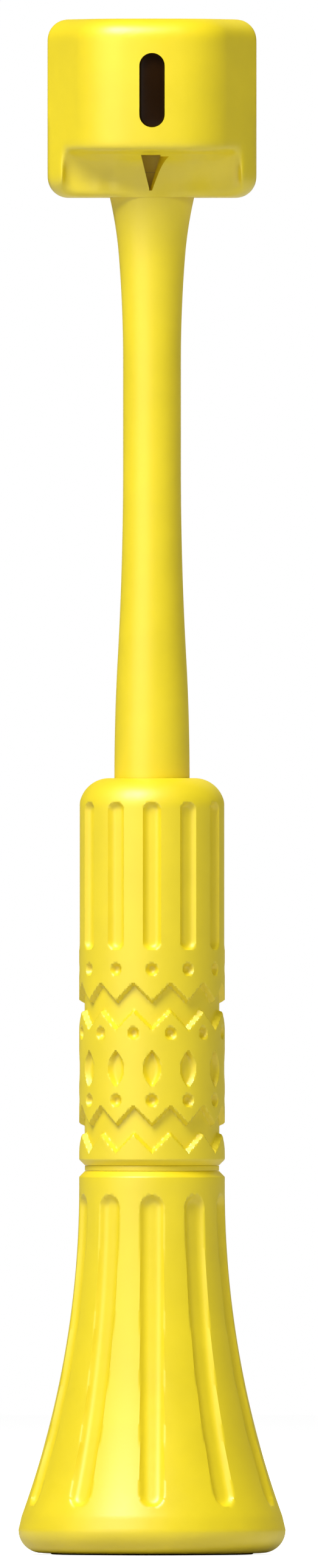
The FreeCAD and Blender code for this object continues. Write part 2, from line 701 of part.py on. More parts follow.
def make_electronics():
    """The carrier, the boards and what is on them."""
    disc_radius = "thread_bore - fit_gap"
    plate = disc("carrier_plate", disc_radius, "carrier_disc", "carrier_low")
    hole = disc("carrier_hole", "contact_radius + close_gap", "carrier_disc", "carrier_low")
    rail_x = "(board_width / 2 + fit_gap)"
    rail_y = "board_offset - carrier_rail"
    rail_depth = "board_thickness + 2 * carrier_rail"
    left_x = "-%s - carrier_rail" % rail_x
    rails = [block(name, x, rail_y, "board_low", "carrier_rail", rail_depth, "board_height")
             for name, x in (("carrier_left", left_x), ("carrier_right", rail_x))]
    bore = disc("carrier_trim_bore", disc_radius, BEYOND, "carrier_low")
    rails = common("carrier_rails", fuse("carrier_rail_pair", *rails), bore)
    node("board_carrier", fuse("board_carrier", cut("carrier_base", plate, hole), rails))
    contact_low = "cell_low + cell_length + seal_gap"
    contact_height = "carrier_low + carrier_disc - (%s)" % contact_low
    node("positive_contact", disc("positive_contact", "contact_radius", contact_height, contact_low))
    board_left = "-board_width / 2"
    node("main_board", block("main_board", board_left, "board_offset", "board_low",
                             "board_width", "board_thickness", "board_height"))
    back = "board_offset + board_thickness"
    switch_low = "button_z - switch_size / 2"
    switch = block("switch_case", "-switch_size / 2", back, switch_low,
                   "switch_size", "switch_height", "switch_size")
    plunger_y = back + " + switch_height"
    plunger = disc("switch_plunger", "plunger_radius", "plunger_height", "button_z",
                   y=plunger_y, along_y=True)
    node("tact_switch", fuse("tact_switch", switch, plunger))
    node("buzzer", disc("buzzer", "buzzer_radius", "buzzer_height", switch_low,
                        y="board_offset - buzzer_height", along_y=True))
    half_chip = "switch_size / 2"
    reader = block("reader_chip", "-" + half_chip, back, "board_low + carrier_disc",
                   "switch_size", "chip_height", half_chip)
    power_x = board_left + " + carrier_rail + fit_gap"
    power = block("power_chip", power_x, back, "button_z", "chip_height", "chip_height", half_chip)
    node("board_chips", group("board_chips", reader, power))


def make_button():
    """The scan button, kept in by its flange, with a pusher over the switch."""
    outer_face = "(grip_radius + button_proud)"
    flange_reach = "(button_width / 2 + button_flange)"
    flange_back = "(sqrt(thread_bore ^ 2 - %s ^ 2) - fit_gap)" % flange_reach
    plunger_top = "(board_offset + board_thickness + switch_height + plunger_height)"
    face = padded("button_face", "XZ_Plane", obround("button_z", "button_width", "button_height"),
                  outer_face + " - " + flange_back, y=outer_face)
    wide = obround("button_z", "button_width + 2 * button_flange", "button_height + 2 * button_flange")
    flange = padded("button_rim", "XZ_Plane", wide, "button_flange", y=flange_back)
    pusher_low = plunger_top + " + button_travel + button_gap"
    pusher_length = "%s - (%s)" % (flange_back, pusher_low)
    pusher = disc("button_pusher", "plunger_radius", pusher_length, "button_z", y=pusher_low, along_y=True)
    node("scan_button", fuse("scan_button", face, flange, pusher))


def make_grip_end():
    """The plug that closes the core, and the nut that holds the neck's root in it."""
    node("grip_cap", turned("grip_cap", [
        ("root_radius + fit_gap", "cap_low"),
        ("thread_bore - fit_gap", "cap_low"),
        ("thread_bore - fit_gap", "cap_high"),
        ("root_radius + fit_gap", "cap_high"),
    ]))
    blank = disc("nut_blank", "nut_radius", "nut_height", "nut_low")
    hole = disc("nut_hole", "root_radius + close_gap", "nut_height", "nut_low")
    node("neck_nut", cut("neck_nut", blank, hole))


# ---- the neck ----

def make_neck():
    """The trumpet-shaped neck, its steel liner and the coil cable inside."""
    blank = turned("neck_blank", [
        ("neck_bore", "nut_low"),
        ("root_radius", "nut_low"),
        ("root_radius", "grip_high"),
        ("neck_foot_radius", "grip_high", "neck_lower_arc", 1),
        ("neck_bend_radius", "grip_high + neck_bend_height", "neck_upper_arc", -1),
        ("neck_radius", "grip_high + neck_straight_low"),
        ("neck_radius", "head_low - neck_straight_drop", "neck_flare_arc", -1),
        ("neck_flare_radius", "head_low - neck_flare_drop", "neck_trumpet_arc", -1),
        ("neck_head_radius", "head_low"),
        ("collar_radius", "collar_high"),
        ("neck_bore", "collar_high"),
    ])
    node("neck_tube", cut("neck_tube", blank, make_notch("neck_notch")))
    liner_radius = "neck_bore - close_gap"
    length = "collar_high - nut_low"
    liner = disc("liner_blank", liner_radius, length, "nut_low")
    hole = disc("liner_hole", "liner_bore", length, "nut_low")
    node("neck_liner", cut("neck_liner", liner, hole))
    cable_low = "board_low + board_height + fit_gap"
    cable_length = "collar_high + collar_height - board_low - board_height - fit_gap"
    node("coil_cable", disc("coil_cable", "cable_radius", cable_length, cable_low))


# ---- the head ----

def plan(inset):
    """The head's outline seen from above, drawn in by a wall."""
    nose = "(nose_width / 2 - %s)" % inset
    side = "(head_width / 2 - %s)" % inset
    back = "(head_back - %s)" % inset
    turn = "(head_back_round - %s)" % inset
    crease = "-(nose_crease - %s)" % inset
    front = "-(head_front - %s)" % inset
    flat = "(nose_flat / 2)"
    flank = "-(flank_end - %s / 2)" % inset
    side_arc = "(nose_side_arc - %s)" % inset
    middle_arc = "(nose_middle_arc - %s)" % inset
    return [
        ("-" + nose, crease, side_arc, 1),
        ("-" + flat, front, middle_arc, 1),
        (flat, front, side_arc, 1),
        (nose, crease),
        (side, flank),
        (side, "%s - %s" % (back, turn), turn, 1),
        ("%s - %s" % (side, turn), back),
        ("-(%s - %s)" % (side, turn), back, turn, 1),
        ("-" + side, "%s - %s" % (back, turn)),
        ("-" + side, flank),
    ]


def make_head_block():
    """The head's outer solid: its plan with rounded upper and lower edges."""
    body = padded("head_block", "XY_Plane", plan("0"), "head_height", z="head_low")
    document.recompute()
    pad = body.Tip
    top = face_at(pad, number("head_height"))
    bottom = face_at(pad, 0)
    edges = body.newObject("PartDesign::Fillet", "head_edges")
    edges.Base = (pad, [top, bottom])
    drive(edges, Radius="head_round")
    return body


def make_scoop():
    """The hollow under the nose, from side to side of the scoop, deeper in a pocket at each end."""
    low = "head_low + scoop_low"
    high = "head_low + scoop_high"
    under = "head_low - head_round"
    ahead = "-" + BEYOND
    cove = padded("scoop_cove", "YZ_Plane", [
        (ahead, under),
        ("-scoop_back", under),
        ("-scoop_back", low, "scoop_arc", 1),
        ("-scoop_lip", high),
        (ahead, high),
    ], "scoop_width", both_ways=True)
    width = "scoop_width / 2 - pocket_side"
    depth = BEYOND + " - pocket_back"
    pockets = [block(name, x, ahead, under, width, depth, "head_round + pocket_high")
               for name, x in (("pocket_left", "-scoop_width / 2"), ("pocket_right", "pocket_side"))]
    return fuse("scoop", cove, *pockets)


def make_notch(name):
    """The V-shaped notch in the scoop and in the front of the neck's top."""
    return padded(name, "XZ_Plane", [
        ("-notch_point", "head_low + notch_low"),
        ("notch_width / 2", "head_low + notch_high"),
        ("-notch_width / 2", "head_low + notch_high"),
    ], "head_front", y="-notch_back")


def screw_places():
    """The four head screws' places: x and height."""
    levels = ("head_low + head_screw_low", "head_high - head_screw_drop")
    return [(side + "head_screw_x", level) for side in ("-", "") for level in levels]


def through_screws(name, radius, y, length):
    """A cylinder along Y at each head screw."""
    return [disc("%s_%d" % (name, index), radius, length, z, x, y, along_y=True)
            for index, (x, z) in enumerate(screw_places())]


def make_rooms():
    """The hollows inside the head: round the coil, behind the scoop and round the neck's top."""
    upper = padded("head_upper_room", "XY_Plane", plan("head_wall"), "room_height", z="room_low")
    room_width = "(head_width - 4 * head_wall - 4 * boss_radius)"
    room_front = "(scoop_back - head_wall)"
    room_depth = room_front + " + head_back - head_wall - head_round"
    lower = block("head_lower_room", "-%s / 2" % room_width, "-" + room_front, "collar_high",
                  room_width, room_depth, "scoop_high")
    neck = turned("neck_room", [
        ("0", "head_low - head_wall"),
        ("neck_head_radius + fit_gap", "head_low - head_wall"),
        ("neck_head_radius + fit_gap", "head_low"),
        ("collar_radius + fit_gap", "collar_high"),
        ("collar_radius + fit_gap", "collar_high + fit_gap"),
        ("0", "collar_high + fit_gap"),
    ])
    outline = obround("slot_z", "slot_width + 2 * window_gap", "slot_height + 2 * window_gap")
    slot = padded("slot_cutter", "XZ_Plane", outline, BEYOND)
    return [fuse("head_room", upper, lower, neck), slot]


def make_head():
    """The head's two shells, split at the axis, with bosses for the screws."""
    block_body = make_head_block()
    hollow = cut("head_hollow", block_body, *(make_rooms() + [make_scoop(), make_notch("notch")]))
    boss_front = "-head_screw_reach - head_wall"
    boss_length = "head_screw_reach + head_wall + head_screw_back"
    pins = fuse("head_boss_pins", *through_screws("head_boss", "boss_radius", boss_front, boss_length))
    bosses = fuse("head_bosses", hollow, common("head_boss_trim", pins, block_body))
    low = "head_low - " + BEYOND
    wide = "2 * " + BEYOND
    tall = "head_height + 2 * " + BEYOND
    front_half = block("head_front_half", "-" + BEYOND, "-" + BEYOND, low, wide, BEYOND, tall)
    rear_half = block("head_rear_half", "-" + BEYOND, "0", low, wide, BEYOND, tall)
    holes = through_screws("head_hole", "screw_radius + close_gap", "-head_screw_reach", BEYOND)
    sinks = through_screws("head_sink", "screw_head_radius + close_gap", "head_screw_back", BEYOND)
    front = common("front_shell_blank", bosses, front_half)
    rear = add_posts(common("rear_shell_blank", bosses, rear_half))
    node("head_front_shell", cut("head_front_shell", front, *holes))
    node("head_rear_shell", cut("head_rear_shell", rear, *(holes + sinks)))
    heads = through_screws("head_screw_head", "screw_head_radius", "head_screw_back", "screw_head_height")
    shanks = through_screws("head_screw_pin", "screw_radius", "-head_screw_reach",
                            "head_screw_reach + head_screw_back")
    screws = [fuse("head_screw_%d" % index, *pair) for index, pair in enumerate(zip(heads, shanks))]
    node("head_screws", group("head_screws", *screws))


def add_posts(shell):
    """The posts that carry the head board, grown from the rear wall."""
    board_back = "head_board_offset + board_thickness"
    length = "head_back - head_wall / 2 - (%s)" % board_back
    posts = []
    for side in ("-", ""):
        for level in ("-", "+"):
            z = "coil_z %s head_board_height / 4" % level
            x = side + "head_board_width / 4"
            posts.append(disc("board_post", "post_radius", length, z, x, board_back, along_y=True))
    return fuse("rear_shell_posts", shell, *posts)


def make_window():
    """The smoked window in the slot, the light pipe behind it and the lights."""
    arc = "(nose_middle_arc - head_wall)"
    rim = "(slot_width / 2 + window_flange)"
    bulge = "sqrt(%s ^ 2 - %s ^ 2) - sqrt(%s ^ 2 - (nose_flat / 2) ^ 2)" % (arc, rim, arc)
    face_y = "(head_front - head_wall + %s)" % bulge
    pane = padded("window_pane", "XZ_Plane", obround("slot_z", "slot_width", "slot_height"),
                  "window_thickness + window_gap", y="-%s + window_gap" % face_y)
    wide = obround("slot_z", "slot_width + 2 * window_flange", "slot_height + 2 * window_flange")
    flange_y = "-%s + window_flange + window_gap" % face_y
    flange = padded("window_rim", "XZ_Plane", wide, "window_flange", y=flange_y)
    node("slot_window", fuse("slot_window", pane, flange))
    pipe_front = "(%s - window_flange - 2 * window_gap)" % face_y
    pipe_back = "(head_board_offset - led_height - light_gap)"
    outline = obround("coil_z", "slot_width", "pipe_height")
    node("light_pipe", padded("light_pipe", "XZ_Plane", outline, pipe_front + " + " + pipe_back, y=pipe_back))
    lights = []
    for index in (-1, 0, 1):
        low = "coil_z + led_pitch * %d - led_size / 2" % index
        lights.append(block("light_%d" % (index + 1), "-led_size / 2", "head_board_offset - led_height", low,
                            "led_size", "led_height", "led_size"))
    node("indicator_lights", group("indicator_lights", *lights))


def coil_slab(name, inset, depth, y):
    """A slab of the coil's outline, drawn in all round."""
    outline = flat_obround("coil_z", "coil_width - 2 * (%s)" % inset, "coil_height - 2 * (%s)" % inset)
    return padded(name, "XZ_Plane", outline, depth, y=y)


def make_coil():
    """The antenna: a flanged obround bobbin with its winding, on four feet on the head board."""
    back = "-coil_front + coil_depth"
    trough_back = back + " - coil_flange"
    trough = "(coil_depth - 2 * coil_flange)"
    outer = coil_slab("bobbin_outer", "0", "coil_depth", back)
    inner = coil_slab("bobbin_inner", "coil_section", "coil_depth", back)
    wide = coil_slab("trough_outer", "-coil_section", trough, trough_back)
    core = coil_slab("trough_inner", "winding_depth + 2 * winding_gap", trough, trough_back)
    foot_z = "coil_z %s (coil_height / 2 - coil_section / 2)"
    foot_length = "coil_front - coil_depth + head_board_offset"
    feet = [disc("bobbin_foot", "bobbin_foot_radius", foot_length, foot_z % level,
                 side + "bobbin_foot_side", back, along_y=True)
            for side in ("-", "") for level in ("-", "+")]
    frame = cut("bobbin_frame", outer, inner, cut("bobbin_trough", wide, core))
    node("coil_bobbin", fuse("coil_bobbin", frame, *feet))
    turns_outer = coil_slab("winding_outer", "winding_sunk", trough + " - 2 * winding_gap",
                            trough_back + " - winding_gap")
    turns_inner = coil_slab("winding_inner", "winding_depth + winding_gap", trough, trough_back)
    node("coil_winding", cut("coil_winding", turns_outer, turns_inner))
    board_low = "coil_z - head_board_height / 2"
    node("head_board", block("head_board", "-head_board_width / 2", "head_board_offset", board_low,
                             "head_board_width", "board_thickness", "head_board_height"))


def write_parts():
    """Checks every object, then writes one file per sub-part."""
    document.recompute()
    for item in document.Objects:
        if "Invalid" in item.State or "Error" in item.State:
            raise RuntimeError("%s is %s" % (item.Label, item.State))
    for name, item in nodes.items():
        if item.Shape.isNull() or not item.Shape.isValid() or not item.Shape.Solids:
            raise RuntimeError("%s has no valid solid" % name)
    os.makedirs("parts", exist_ok=True)
    for name, item in nodes.items():
        item.Shape.exportStep("parts/%s.step" % name)
        box = item.Shape.BoundBox
        facts = (name, len(item.Shape.Solids), item.Shape.Volume, box.ZMin, box.ZMax)
        print("%-18s %d solids %10.1f mm3  z %.2f..%.2f" % facts)


make_bell()
make_insert()
make_foot()
make_cell()
make_seal()
make_sleeve()
make_core()
make_electronics()
make_button()
make_grip_end()
make_neck()
make_head()
make_window()
make_coil()
write_parts()
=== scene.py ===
"""Finished surfaces for a hand-held microchip scanner: bell, grip, neck and reading head."""

import math

import bpy
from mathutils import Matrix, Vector


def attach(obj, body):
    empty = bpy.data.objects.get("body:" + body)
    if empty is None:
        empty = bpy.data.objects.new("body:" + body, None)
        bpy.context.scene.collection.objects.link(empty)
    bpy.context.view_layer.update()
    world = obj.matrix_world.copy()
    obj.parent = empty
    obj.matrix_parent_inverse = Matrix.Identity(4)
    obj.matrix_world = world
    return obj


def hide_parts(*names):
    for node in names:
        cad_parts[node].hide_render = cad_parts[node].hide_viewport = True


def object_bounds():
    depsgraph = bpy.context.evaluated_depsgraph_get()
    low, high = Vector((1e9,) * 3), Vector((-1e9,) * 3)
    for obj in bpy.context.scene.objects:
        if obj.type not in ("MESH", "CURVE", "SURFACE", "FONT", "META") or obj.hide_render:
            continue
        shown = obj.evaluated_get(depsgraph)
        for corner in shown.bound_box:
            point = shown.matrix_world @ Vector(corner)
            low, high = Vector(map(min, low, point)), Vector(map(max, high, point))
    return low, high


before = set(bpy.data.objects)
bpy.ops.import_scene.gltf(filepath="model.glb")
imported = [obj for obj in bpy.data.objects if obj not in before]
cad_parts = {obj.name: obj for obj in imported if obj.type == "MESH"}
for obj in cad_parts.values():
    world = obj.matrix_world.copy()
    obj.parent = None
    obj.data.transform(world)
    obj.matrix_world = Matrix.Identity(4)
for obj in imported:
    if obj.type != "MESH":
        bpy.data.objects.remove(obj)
cad_low, cad_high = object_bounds()

bl_info = {
    "name": "Microchip Scanner Surfaces",
    "version": (1, 0, 0),
    "blender": (4, 5, 0),
    "location": "3D View > Sidebar > Scanner",
    "description": "Models and finishes the outer pieces of a hand-held microchip scanner",
    "category": "Object",
}

MM = 0.001
FULL_TURN = 2 * math.pi

# How finely the pieces are divided: steps of a whole turn, of an arc or of a bevel, and spacings in millimetres.
BELL_STEPS = 400
GRIP_STEPS = 348
NECK_STEPS = 160
RING_STEPS = 128
FAIRING_STEPS = 96
FLARE_STEPS = 150
SHOULDER_STEPS = 18
NECK_ARC_STEPS = 16
NOSE_STEPS = 12
CORNER_STEPS = 10
BORE_STEPS = 8
SLOT_STEPS = 16
SMOOTH_SLOT_STEPS = 20
SCOOP_STEPS = 24
ROUND_STEPS = 5
BUTTON_STEPS = 6
EDGE_STEPS = 3
BELL_SPACING = 0.6
GRIP_SPACING = 0.36
NECK_SPACING = 4.0
HEAD_VOXEL = 0.34
HEAD_SMOOTH_ROUNDS = 12
SCOOP_SOFT_ROUNDS = 110
SMOOTH_FACTOR = 0.5

# Margins in millimetres: points that are one point, points that are level with a face, and how far cutters
# reach past what they cut.
DOUBLES = 0.002
NEAR = 0.01
OVERLAP = 1.0
SPARE = 10.0

# The angles in degrees up to which an edge is shaded smooth.
PLAIN_ANGLE = 38
ROUND_ANGLE = 50
THREAD_ANGLE = 30

# All sizes below are in millimetres, with heights from the floor and radii from the scanner's axis. The front
# is -Y. Pairs are (radius, height), or (across, height) and (across, depth) in the head.

# Bell and joint groove
BELL_TOP = 79.9
BELL_BOTTOM = 0.3
BELL_RADIUS = 27.88
BELL_OPENING = 22.0
BELL_OPENING_CHAMFER = 0.3
BELL_ROUND = 4.8
FLARE_FOOT = (27.2, 8.0)
FLARE_TOP = (15.2, 76.0)
FLARE_ARC = 201.8
GROOVE_RADIUS = 14.0
GROOVE_SLOPE = 1.2
GROOVE_EDGE = 0.5
GROOVE_FOOT = 0.15
BELL_LIP = 1.5
BELL_LIP_RADIUS = 10.95
BELL_BORE = 12.5
BAY_END = 46.0
BALLAST_BORE = 18.5
BALLAST_TOP = 14.1
COVER_LEDGE = 3.35
BELL_FLUTES = 10
BELL_FLUTE_WIDTH = 5.0
BELL_FLUTE_LOW = 10.2
BELL_FLUTE_HIGH = 74.9
BORE_MARGIN = 0.5
BAY_MARGIN = 10.0

# Threaded insert
INSERT_BORE = 9.55
INSERT_RADIUS = 12.38
INSERT_LOW = 59.9
INSERT_SHOULDER = 78.38
THREAD_RADIUS = 10.8
THREAD_DEPTH = 0.55
THREAD_PITCH = 2.0
THREAD_LOW = 80.4
THREAD_TURNS = 5
INSERT_TOP = 91.9

# Seal
SEAL_INNER = 10.9
SEAL_LOW = 79.95
SEAL_HIGH = 81.05
SEAL_EDGE = 0.1

# Grip sleeve, with its flutes, zigzags, leaves and rows of dots (height, shift in parts of a tooth)
GRIP_LOW = 81.1
GRIP_HIGH = 161.8
GRIP_RADIUS = 15.2
GRIP_BORE = 13.0
GRIP_SHOULDER = 6.3
GRIP_SHOULDER_INSIDE = 1.4
NECK_HOLE = 8.0
TEETH = 12
FLUTE_WIDTH = 3.8
FLUTE_LOW = 126.0
FLUTE_HIGH = 156.9
ZIGZAG_VALLEYS = (84.0, 109.6)
ZIGZAG_SWING = 3.8
ZIGZAG_WIDTH = 5.6
LEAF_MIDDLE = 101.3
LEAF_WIDTH = 3.8
LEAF_HEIGHT = 7.5
DOT_RADIUS = 1.25
DOT_ROWS = ((94.7, 0.0), (108.7, 0.5), (122.0, 0.0))

# Scan button
BUTTON_MIDDLE = 138.0
BUTTON_WIDTH = 8.0
BUTTON_HEIGHT = 16.0
BUTTON_FACE = 15.9
BUTTON_BACK = 9.0
BUTTON_GAP = 0.12
BUTTON_BEVEL = 0.9
BUTTON_RIM = 1.1
BUTTON_REST_SLOPE = 0.7

# Neck: the arcs join the profile's points. A positive radius turns left, a negative one right, and None is straight.
NECK_PROFILE = ((7.85, 161.8), (7.1, 187.8), (6.03, 227.0), (6.03, 248.5), (6.85, 269.8), (8.8, 282.8))
NECK_ARCS = (450.0, -710.0, None, -277.0, -84.0)
NECK_BORE = 3.1
NECK_ROOT = 6.1
NECK_ROOT_LOW = 147.3
NECK_TOP = (7.4, 288.0)
NECK_GAP = 0.04
NECK_STEP = 0.6

# Head, with its nose, scoop, end pockets and fairing
HEAD_LOW = 282.8
HEAD_HIGH = 319.95
HEAD_SIDE = 21.8
HEAD_REACH = 2 * HEAD_SIDE
HEAD_BACK = 14.0
HEAD_BACK_ROUND = 6.0
HEAD_ROUND = 4.3
HEAD_WALL = 2.2
HEAD_ROOM_SPARE = 0.6
NOSE_EDGE = (6.0, -19.55)
NOSE_MIDDLE_ARC = 40.0
NOSE_CREASE = (15.5, -13.4)
NOSE_SIDE_ARC = 14.0
FLANK_END = -2.5
SCOOP_SIDE = 18.4
SCOOP_LOW = 284.9
SCOOP_HIGH = 292.2
SCOOP_LEVELS = 6
SCOOP_SOFT_TOP = 298.0
SCOOP_BACK = -8.6
NOSE_LIP = 3.0
POCKET_SIDE = 10.0
POCKET_BACK = -5.4
POCKET_SLOPE = 5.0
FAIRING = ((8.85, 279.0), (8.85, 282.8), (9.3, 285.6), (10.2, 289.0), (12.0, 292.6))

# Notch under the nose and its slanted wall
NOTCH_CORNERS = ((-0.5, 284.2), (1.8, 291.6), (-2.3, 291.6))
NOTCH_BACK = -4.2
NOTCH_SLANT = 1.8
NOTCH_SLANT_BACK = -7.4
NOTCH_SLANT_FRONT = -13.0
NOTCH_SLANT_FOOT = 0.5

# Slot, window, rooms inside the head and screw sinks
SLOT_MIDDLE = 305.0
SLOT_WIDTH = 5.3
SLOT_HEIGHT = 15.5
WINDOW_FACE = -18.6
WINDOW_BACK = -17.6
WINDOW_GAP = 0.08
WINDOW_BEVEL = 0.25
ROOM_LOW = 294.6
ROOM_SIDE = 11.8
ROOM_FRONT = -3.8
ROOM_BACK = 7.5
HEAD_SCREWS = ((-17.2, 298.4), (17.2, 298.4), (-17.2, 314.0), (17.2, 314.0))
HEAD_SCREW_SEAT = 10.0
HEAD_SINK_RADIUS = 2.25

# Foot ring
FOOT_OUTER = 21.2
FOOT_INNER = 17.4
FOOT_HEIGHT = 1.9
FOOT_EDGE = 0.35
FOOT_GROOVES = (19.0, 20.2)
FOOT_GROOVE_SIZE = 0.3
FOOT_GROOVE_EDGE = 0.1

# The camera: the middle and the height of what it sees, and its lens and sensor, all in millimetres.
# The front view only uses the sensor's height. The width is for views from other sides.
VIEW_MIDDLE = (1.46, 160.57)
VIEW_HEIGHT = 326.85
LENS = 1000.0
SENSOR_HEIGHT = 24.0
SENSOR_WIDTH = 110.0

# The lamps: place and size in metres, power in watts, and the rays that don't meet the lamp.
LAMPS = {
    "key_lamp": ((-0.85, -1.2, 2.0), 1.1, 64.0, None),
    "sheen_lamp": ((-1.2, -1.5, 0.2), 1.8, 14.0, "visible_diffuse"),
    "back_lamp": ((0.5, 1.8, 0.9), 1.3, 24.0, "visible_glossy"),
    "fill_lamp": ((0.65, -0.75, 0.75), 0.35, 2.6, "visible_glossy"),
}
WORLD_LIGHT = 0.13
WORLD_SEEN = 1.0
FLOOR_SIZE = 6.0
FLOOR_GREY = 0.55
FLOOR_ROUGHNESS = 0.9
FLOOR_GLOW = 0.85

# What all finishes share: the scales and details of their noises, and how far tone, gloss and height vary.
TONE_SCALE = 70.0
TONE_DETAIL = 3.0
TONE_LOW, TONE_HIGH = 0.3, 0.7
GLOSS_SCALE = 420.0
GLOSS_DETAIL = 4.0
GLOSS_SWING = 0.06
GLOSS_LEAST = 0.03
GRAIN_DETAIL = 2.0
GRAIN_HEIGHT = 0.08


class ScannerSizes(bpy.types.PropertyGroup):
    """Sizes of the moulded detail."""

    relief_depth: bpy.props.FloatProperty(
        name="Relief depth", description="Depth of the pattern moulded into the grip",
        default=1.15 * MM, min=0.0, unit="LENGTH", precision=5)
    relief_edge: bpy.props.FloatProperty(
        name="Relief edge", description="Width of the soft edge of the grip's pattern",
        default=0.45 * MM, min=0.1 * MM, unit="LENGTH", precision=5)
    bell_flute_depth: bpy.props.FloatProperty(
        name="Bell flute depth", description="Depth of the flutes in the bell",
        default=1.2 * MM, min=0.0, unit="LENGTH", precision=5)
    seam: bpy.props.FloatProperty(
        name="Seam", description="Gap between the head's front and rear shells",
        default=0.03 * MM, min=0.0, unit="LENGTH", precision=5)
    button_dish: bpy.props.FloatProperty(
        name="Button dish", description="Depth of the thumb rest in the scan button",
        default=0.35 * MM, min=0.0, unit="LENGTH", precision=5)


class ScannerColours(bpy.types.PropertyGroup):
    """Colours of the outer pieces."""

    plastic: bpy.props.FloatVectorProperty(
        name="Plastic", description="Colour of the moulded plastic",
        subtype="COLOR", size=3, min=0.0, max=1.0, default=(0.92, 0.725, 0.006))
    grip: bpy.props.FloatVectorProperty(
        name="Grip", description="Colour of the soft grip sleeve",
        subtype="COLOR", size=3, min=0.0, max=1.0, default=(0.92, 0.725, 0.006))
    rubber: bpy.props.FloatVectorProperty(
        name="Rubber", description="Colour of the foot ring",
        subtype="COLOR", size=3, min=0.0, max=1.0, default=(0.018, 0.018, 0.020))
    # The pane's colour is painted shade: a near-black brown that stands in for the shade deep in the slot.
    window: bpy.props.FloatVectorProperty(
        name="Window", description="Colour of the smoked window",
        subtype="COLOR", size=3, min=0.0, max=1.0, default=(0.016, 0.006, 0.001))


# ---- ways of modelling ----

def clear_selection():
    """Leaves edit mode with nothing selected."""
    if bpy.context.object and bpy.context.object.mode != "OBJECT":
        bpy.ops.object.mode_set(mode="OBJECT")
    bpy.ops.object.select_all(action="DESELECT")


def pick(piece):
    """Makes one object the selected and active one."""
    clear_selection()
    piece.select_set(True)
    bpy.context.view_layer.objects.active = piece


def edit():
    """Enters edit mode with everything selected."""
    bpy.ops.object.mode_set(mode="EDIT")
    bpy.ops.mesh.select_mode(type="VERT")
    bpy.ops.mesh.select_all(action="SELECT")


def draw_chain(name, points):
    """A new object whose mesh is one chain of edges through points given in millimetres."""
    clear_selection()
    bpy.ops.mesh.primitive_plane_add(size=MM, location=(0, 0, 0))
    piece = bpy.context.object
    piece.name = piece.data.name = name
    edit()
    bpy.ops.mesh.merge(type="CENTER")
    last = Vector(points[0])
    bpy.ops.transform.translate(value=last * MM)
    for point in points[1:]:
        step = Vector(point) - last
        bpy.ops.mesh.extrude_vertices_move(TRANSFORM_OT_translate={"value": step * MM})
        last = Vector(point)
    return piece


def close_skin():
    """Merges doubles and turns every face outwards."""
    bpy.ops.mesh.select_all(action="SELECT")
    bpy.ops.mesh.remove_doubles(threshold=DOUBLES * MM)
    bpy.ops.mesh.normals_make_consistent(inside=False)
    bpy.ops.object.mode_set(mode="OBJECT")


def lathe(name, profile, steps):
    """Spins a closed outline of (radius, height) round the axis."""
    piece = draw_chain(name, [(radius, 0, height) for radius, height in profile + profile[:1]])
    bpy.ops.mesh.select_all(action="SELECT")
    bpy.ops.mesh.spin(steps=steps, angle=FULL_TURN, center=(0, 0, 0), axis=(0, 0, 1))
    close_skin()
    return piece


def prism(name, outline, along):
    """Fills an outline of points in millimetres and extrudes it."""
    piece = draw_chain(name, outline)
    bpy.ops.mesh.select_all(action="SELECT")
    bpy.ops.mesh.edge_face_add()
    bpy.ops.mesh.extrude_region_move(TRANSFORM_OT_translate={"value": Vector(along) * MM})
    close_skin()
    return piece


def upright(name, plan, low, high):
    """A prism between two heights over a plan of (across, depth)."""
    return prism(name, [(x, y, low) for x, y in plan], (0, 0, high - low))


def oblong(side, front, back):
    """The plan of a block: half its width, and the depths of its two faces."""
    return [(-side, front), (side, front), (side, back), (-side, back)]


def apply_modifier(piece, kind, **settings):
    """Adds a modifier, sets it and applies it."""
    pick(piece)
    modifier = piece.modifiers.new(kind.title(), kind)
    for name, value in settings.items():
        setattr(modifier, name, value)
    bpy.ops.object.modifier_apply(modifier=modifier.name)


def combine(piece, tool, operation="DIFFERENCE"):
    """Cuts, joins or crosses a piece with a tool, which is used up."""
    apply_modifier(piece, "BOOLEAN", operation=operation, object=tool, solver="MANIFOLD")
    bpy.data.objects.remove(tool)


def arc(start, end, radius, count):
    """Points after start up to end on an arc. A positive radius turns left, a negative one right."""
    start, end = Vector(start), Vector(end)
    chord = end - start
    half = chord.length / 2
    side = math.copysign(1, radius)
    across = Vector((-chord.y, chord.x)).normalized() * side
    centre = (start + end) / 2 + across * math.sqrt(max(radius ** 2 - half ** 2, 0))
    sweep = 2 * math.asin(min(half / abs(radius), 1)) * side
    first = math.atan2(start.y - centre.y, start.x - centre.x)
    points = []
    for index in range(1, count + 1):
        angle = first + sweep * index / count
        points.append(tuple(centre + Vector((math.cos(angle), math.sin(angle))) * abs(radius)))
    return points


def rounded(corners, count=ROUND_STEPS):
    """An open outline with rounded corners: each corner is (across, up, radius)."""
    points = []
    for index, corner in enumerate(corners):
        here = Vector(corner[:2])
        if len(corner) < 3 or index in (0, len(corners) - 1):
            points.append(tuple(here))
            continue
        back = (Vector(corners[index - 1][:2]) - here).normalized()
        ahead = (Vector(corners[index + 1][:2]) - here).normalized()
        half_angle = back.angle(ahead) / 2
        reach = corner[2] / math.tan(half_angle)
        start, end = here + back * reach, here + ahead * reach
        turn = back.x * ahead.y - back.y * ahead.x
        points.append(tuple(start))
        points += arc(start, end, math.copysign(corner[2], -turn), count)
    return points


def evened(points, longest):
    """The outline with its long runs divided."""
    result = [points[0]]
    for start, end in zip(points, points[1:]):
        start, end = Vector(start), Vector(end)
        count = max(1, math.ceil((end - start).length / longest))
        result += [tuple(start.lerp(end, index / count)) for index in range(1, count + 1)]
    return result


def obround(middle, width, height, depth, count=SLOT_STEPS):
    """The outline of an upright slot in a plane across Y."""
    reach = (height - width) / 2
    points = []
    for centre, first in ((middle + reach, 0.0), (middle - reach, math.pi)):
        for index in range(count + 1):
            angle = first + math.pi * index / count
            points.append((width / 2 * math.cos(angle), depth, centre + width / 2 * math.sin(angle)))
    return points


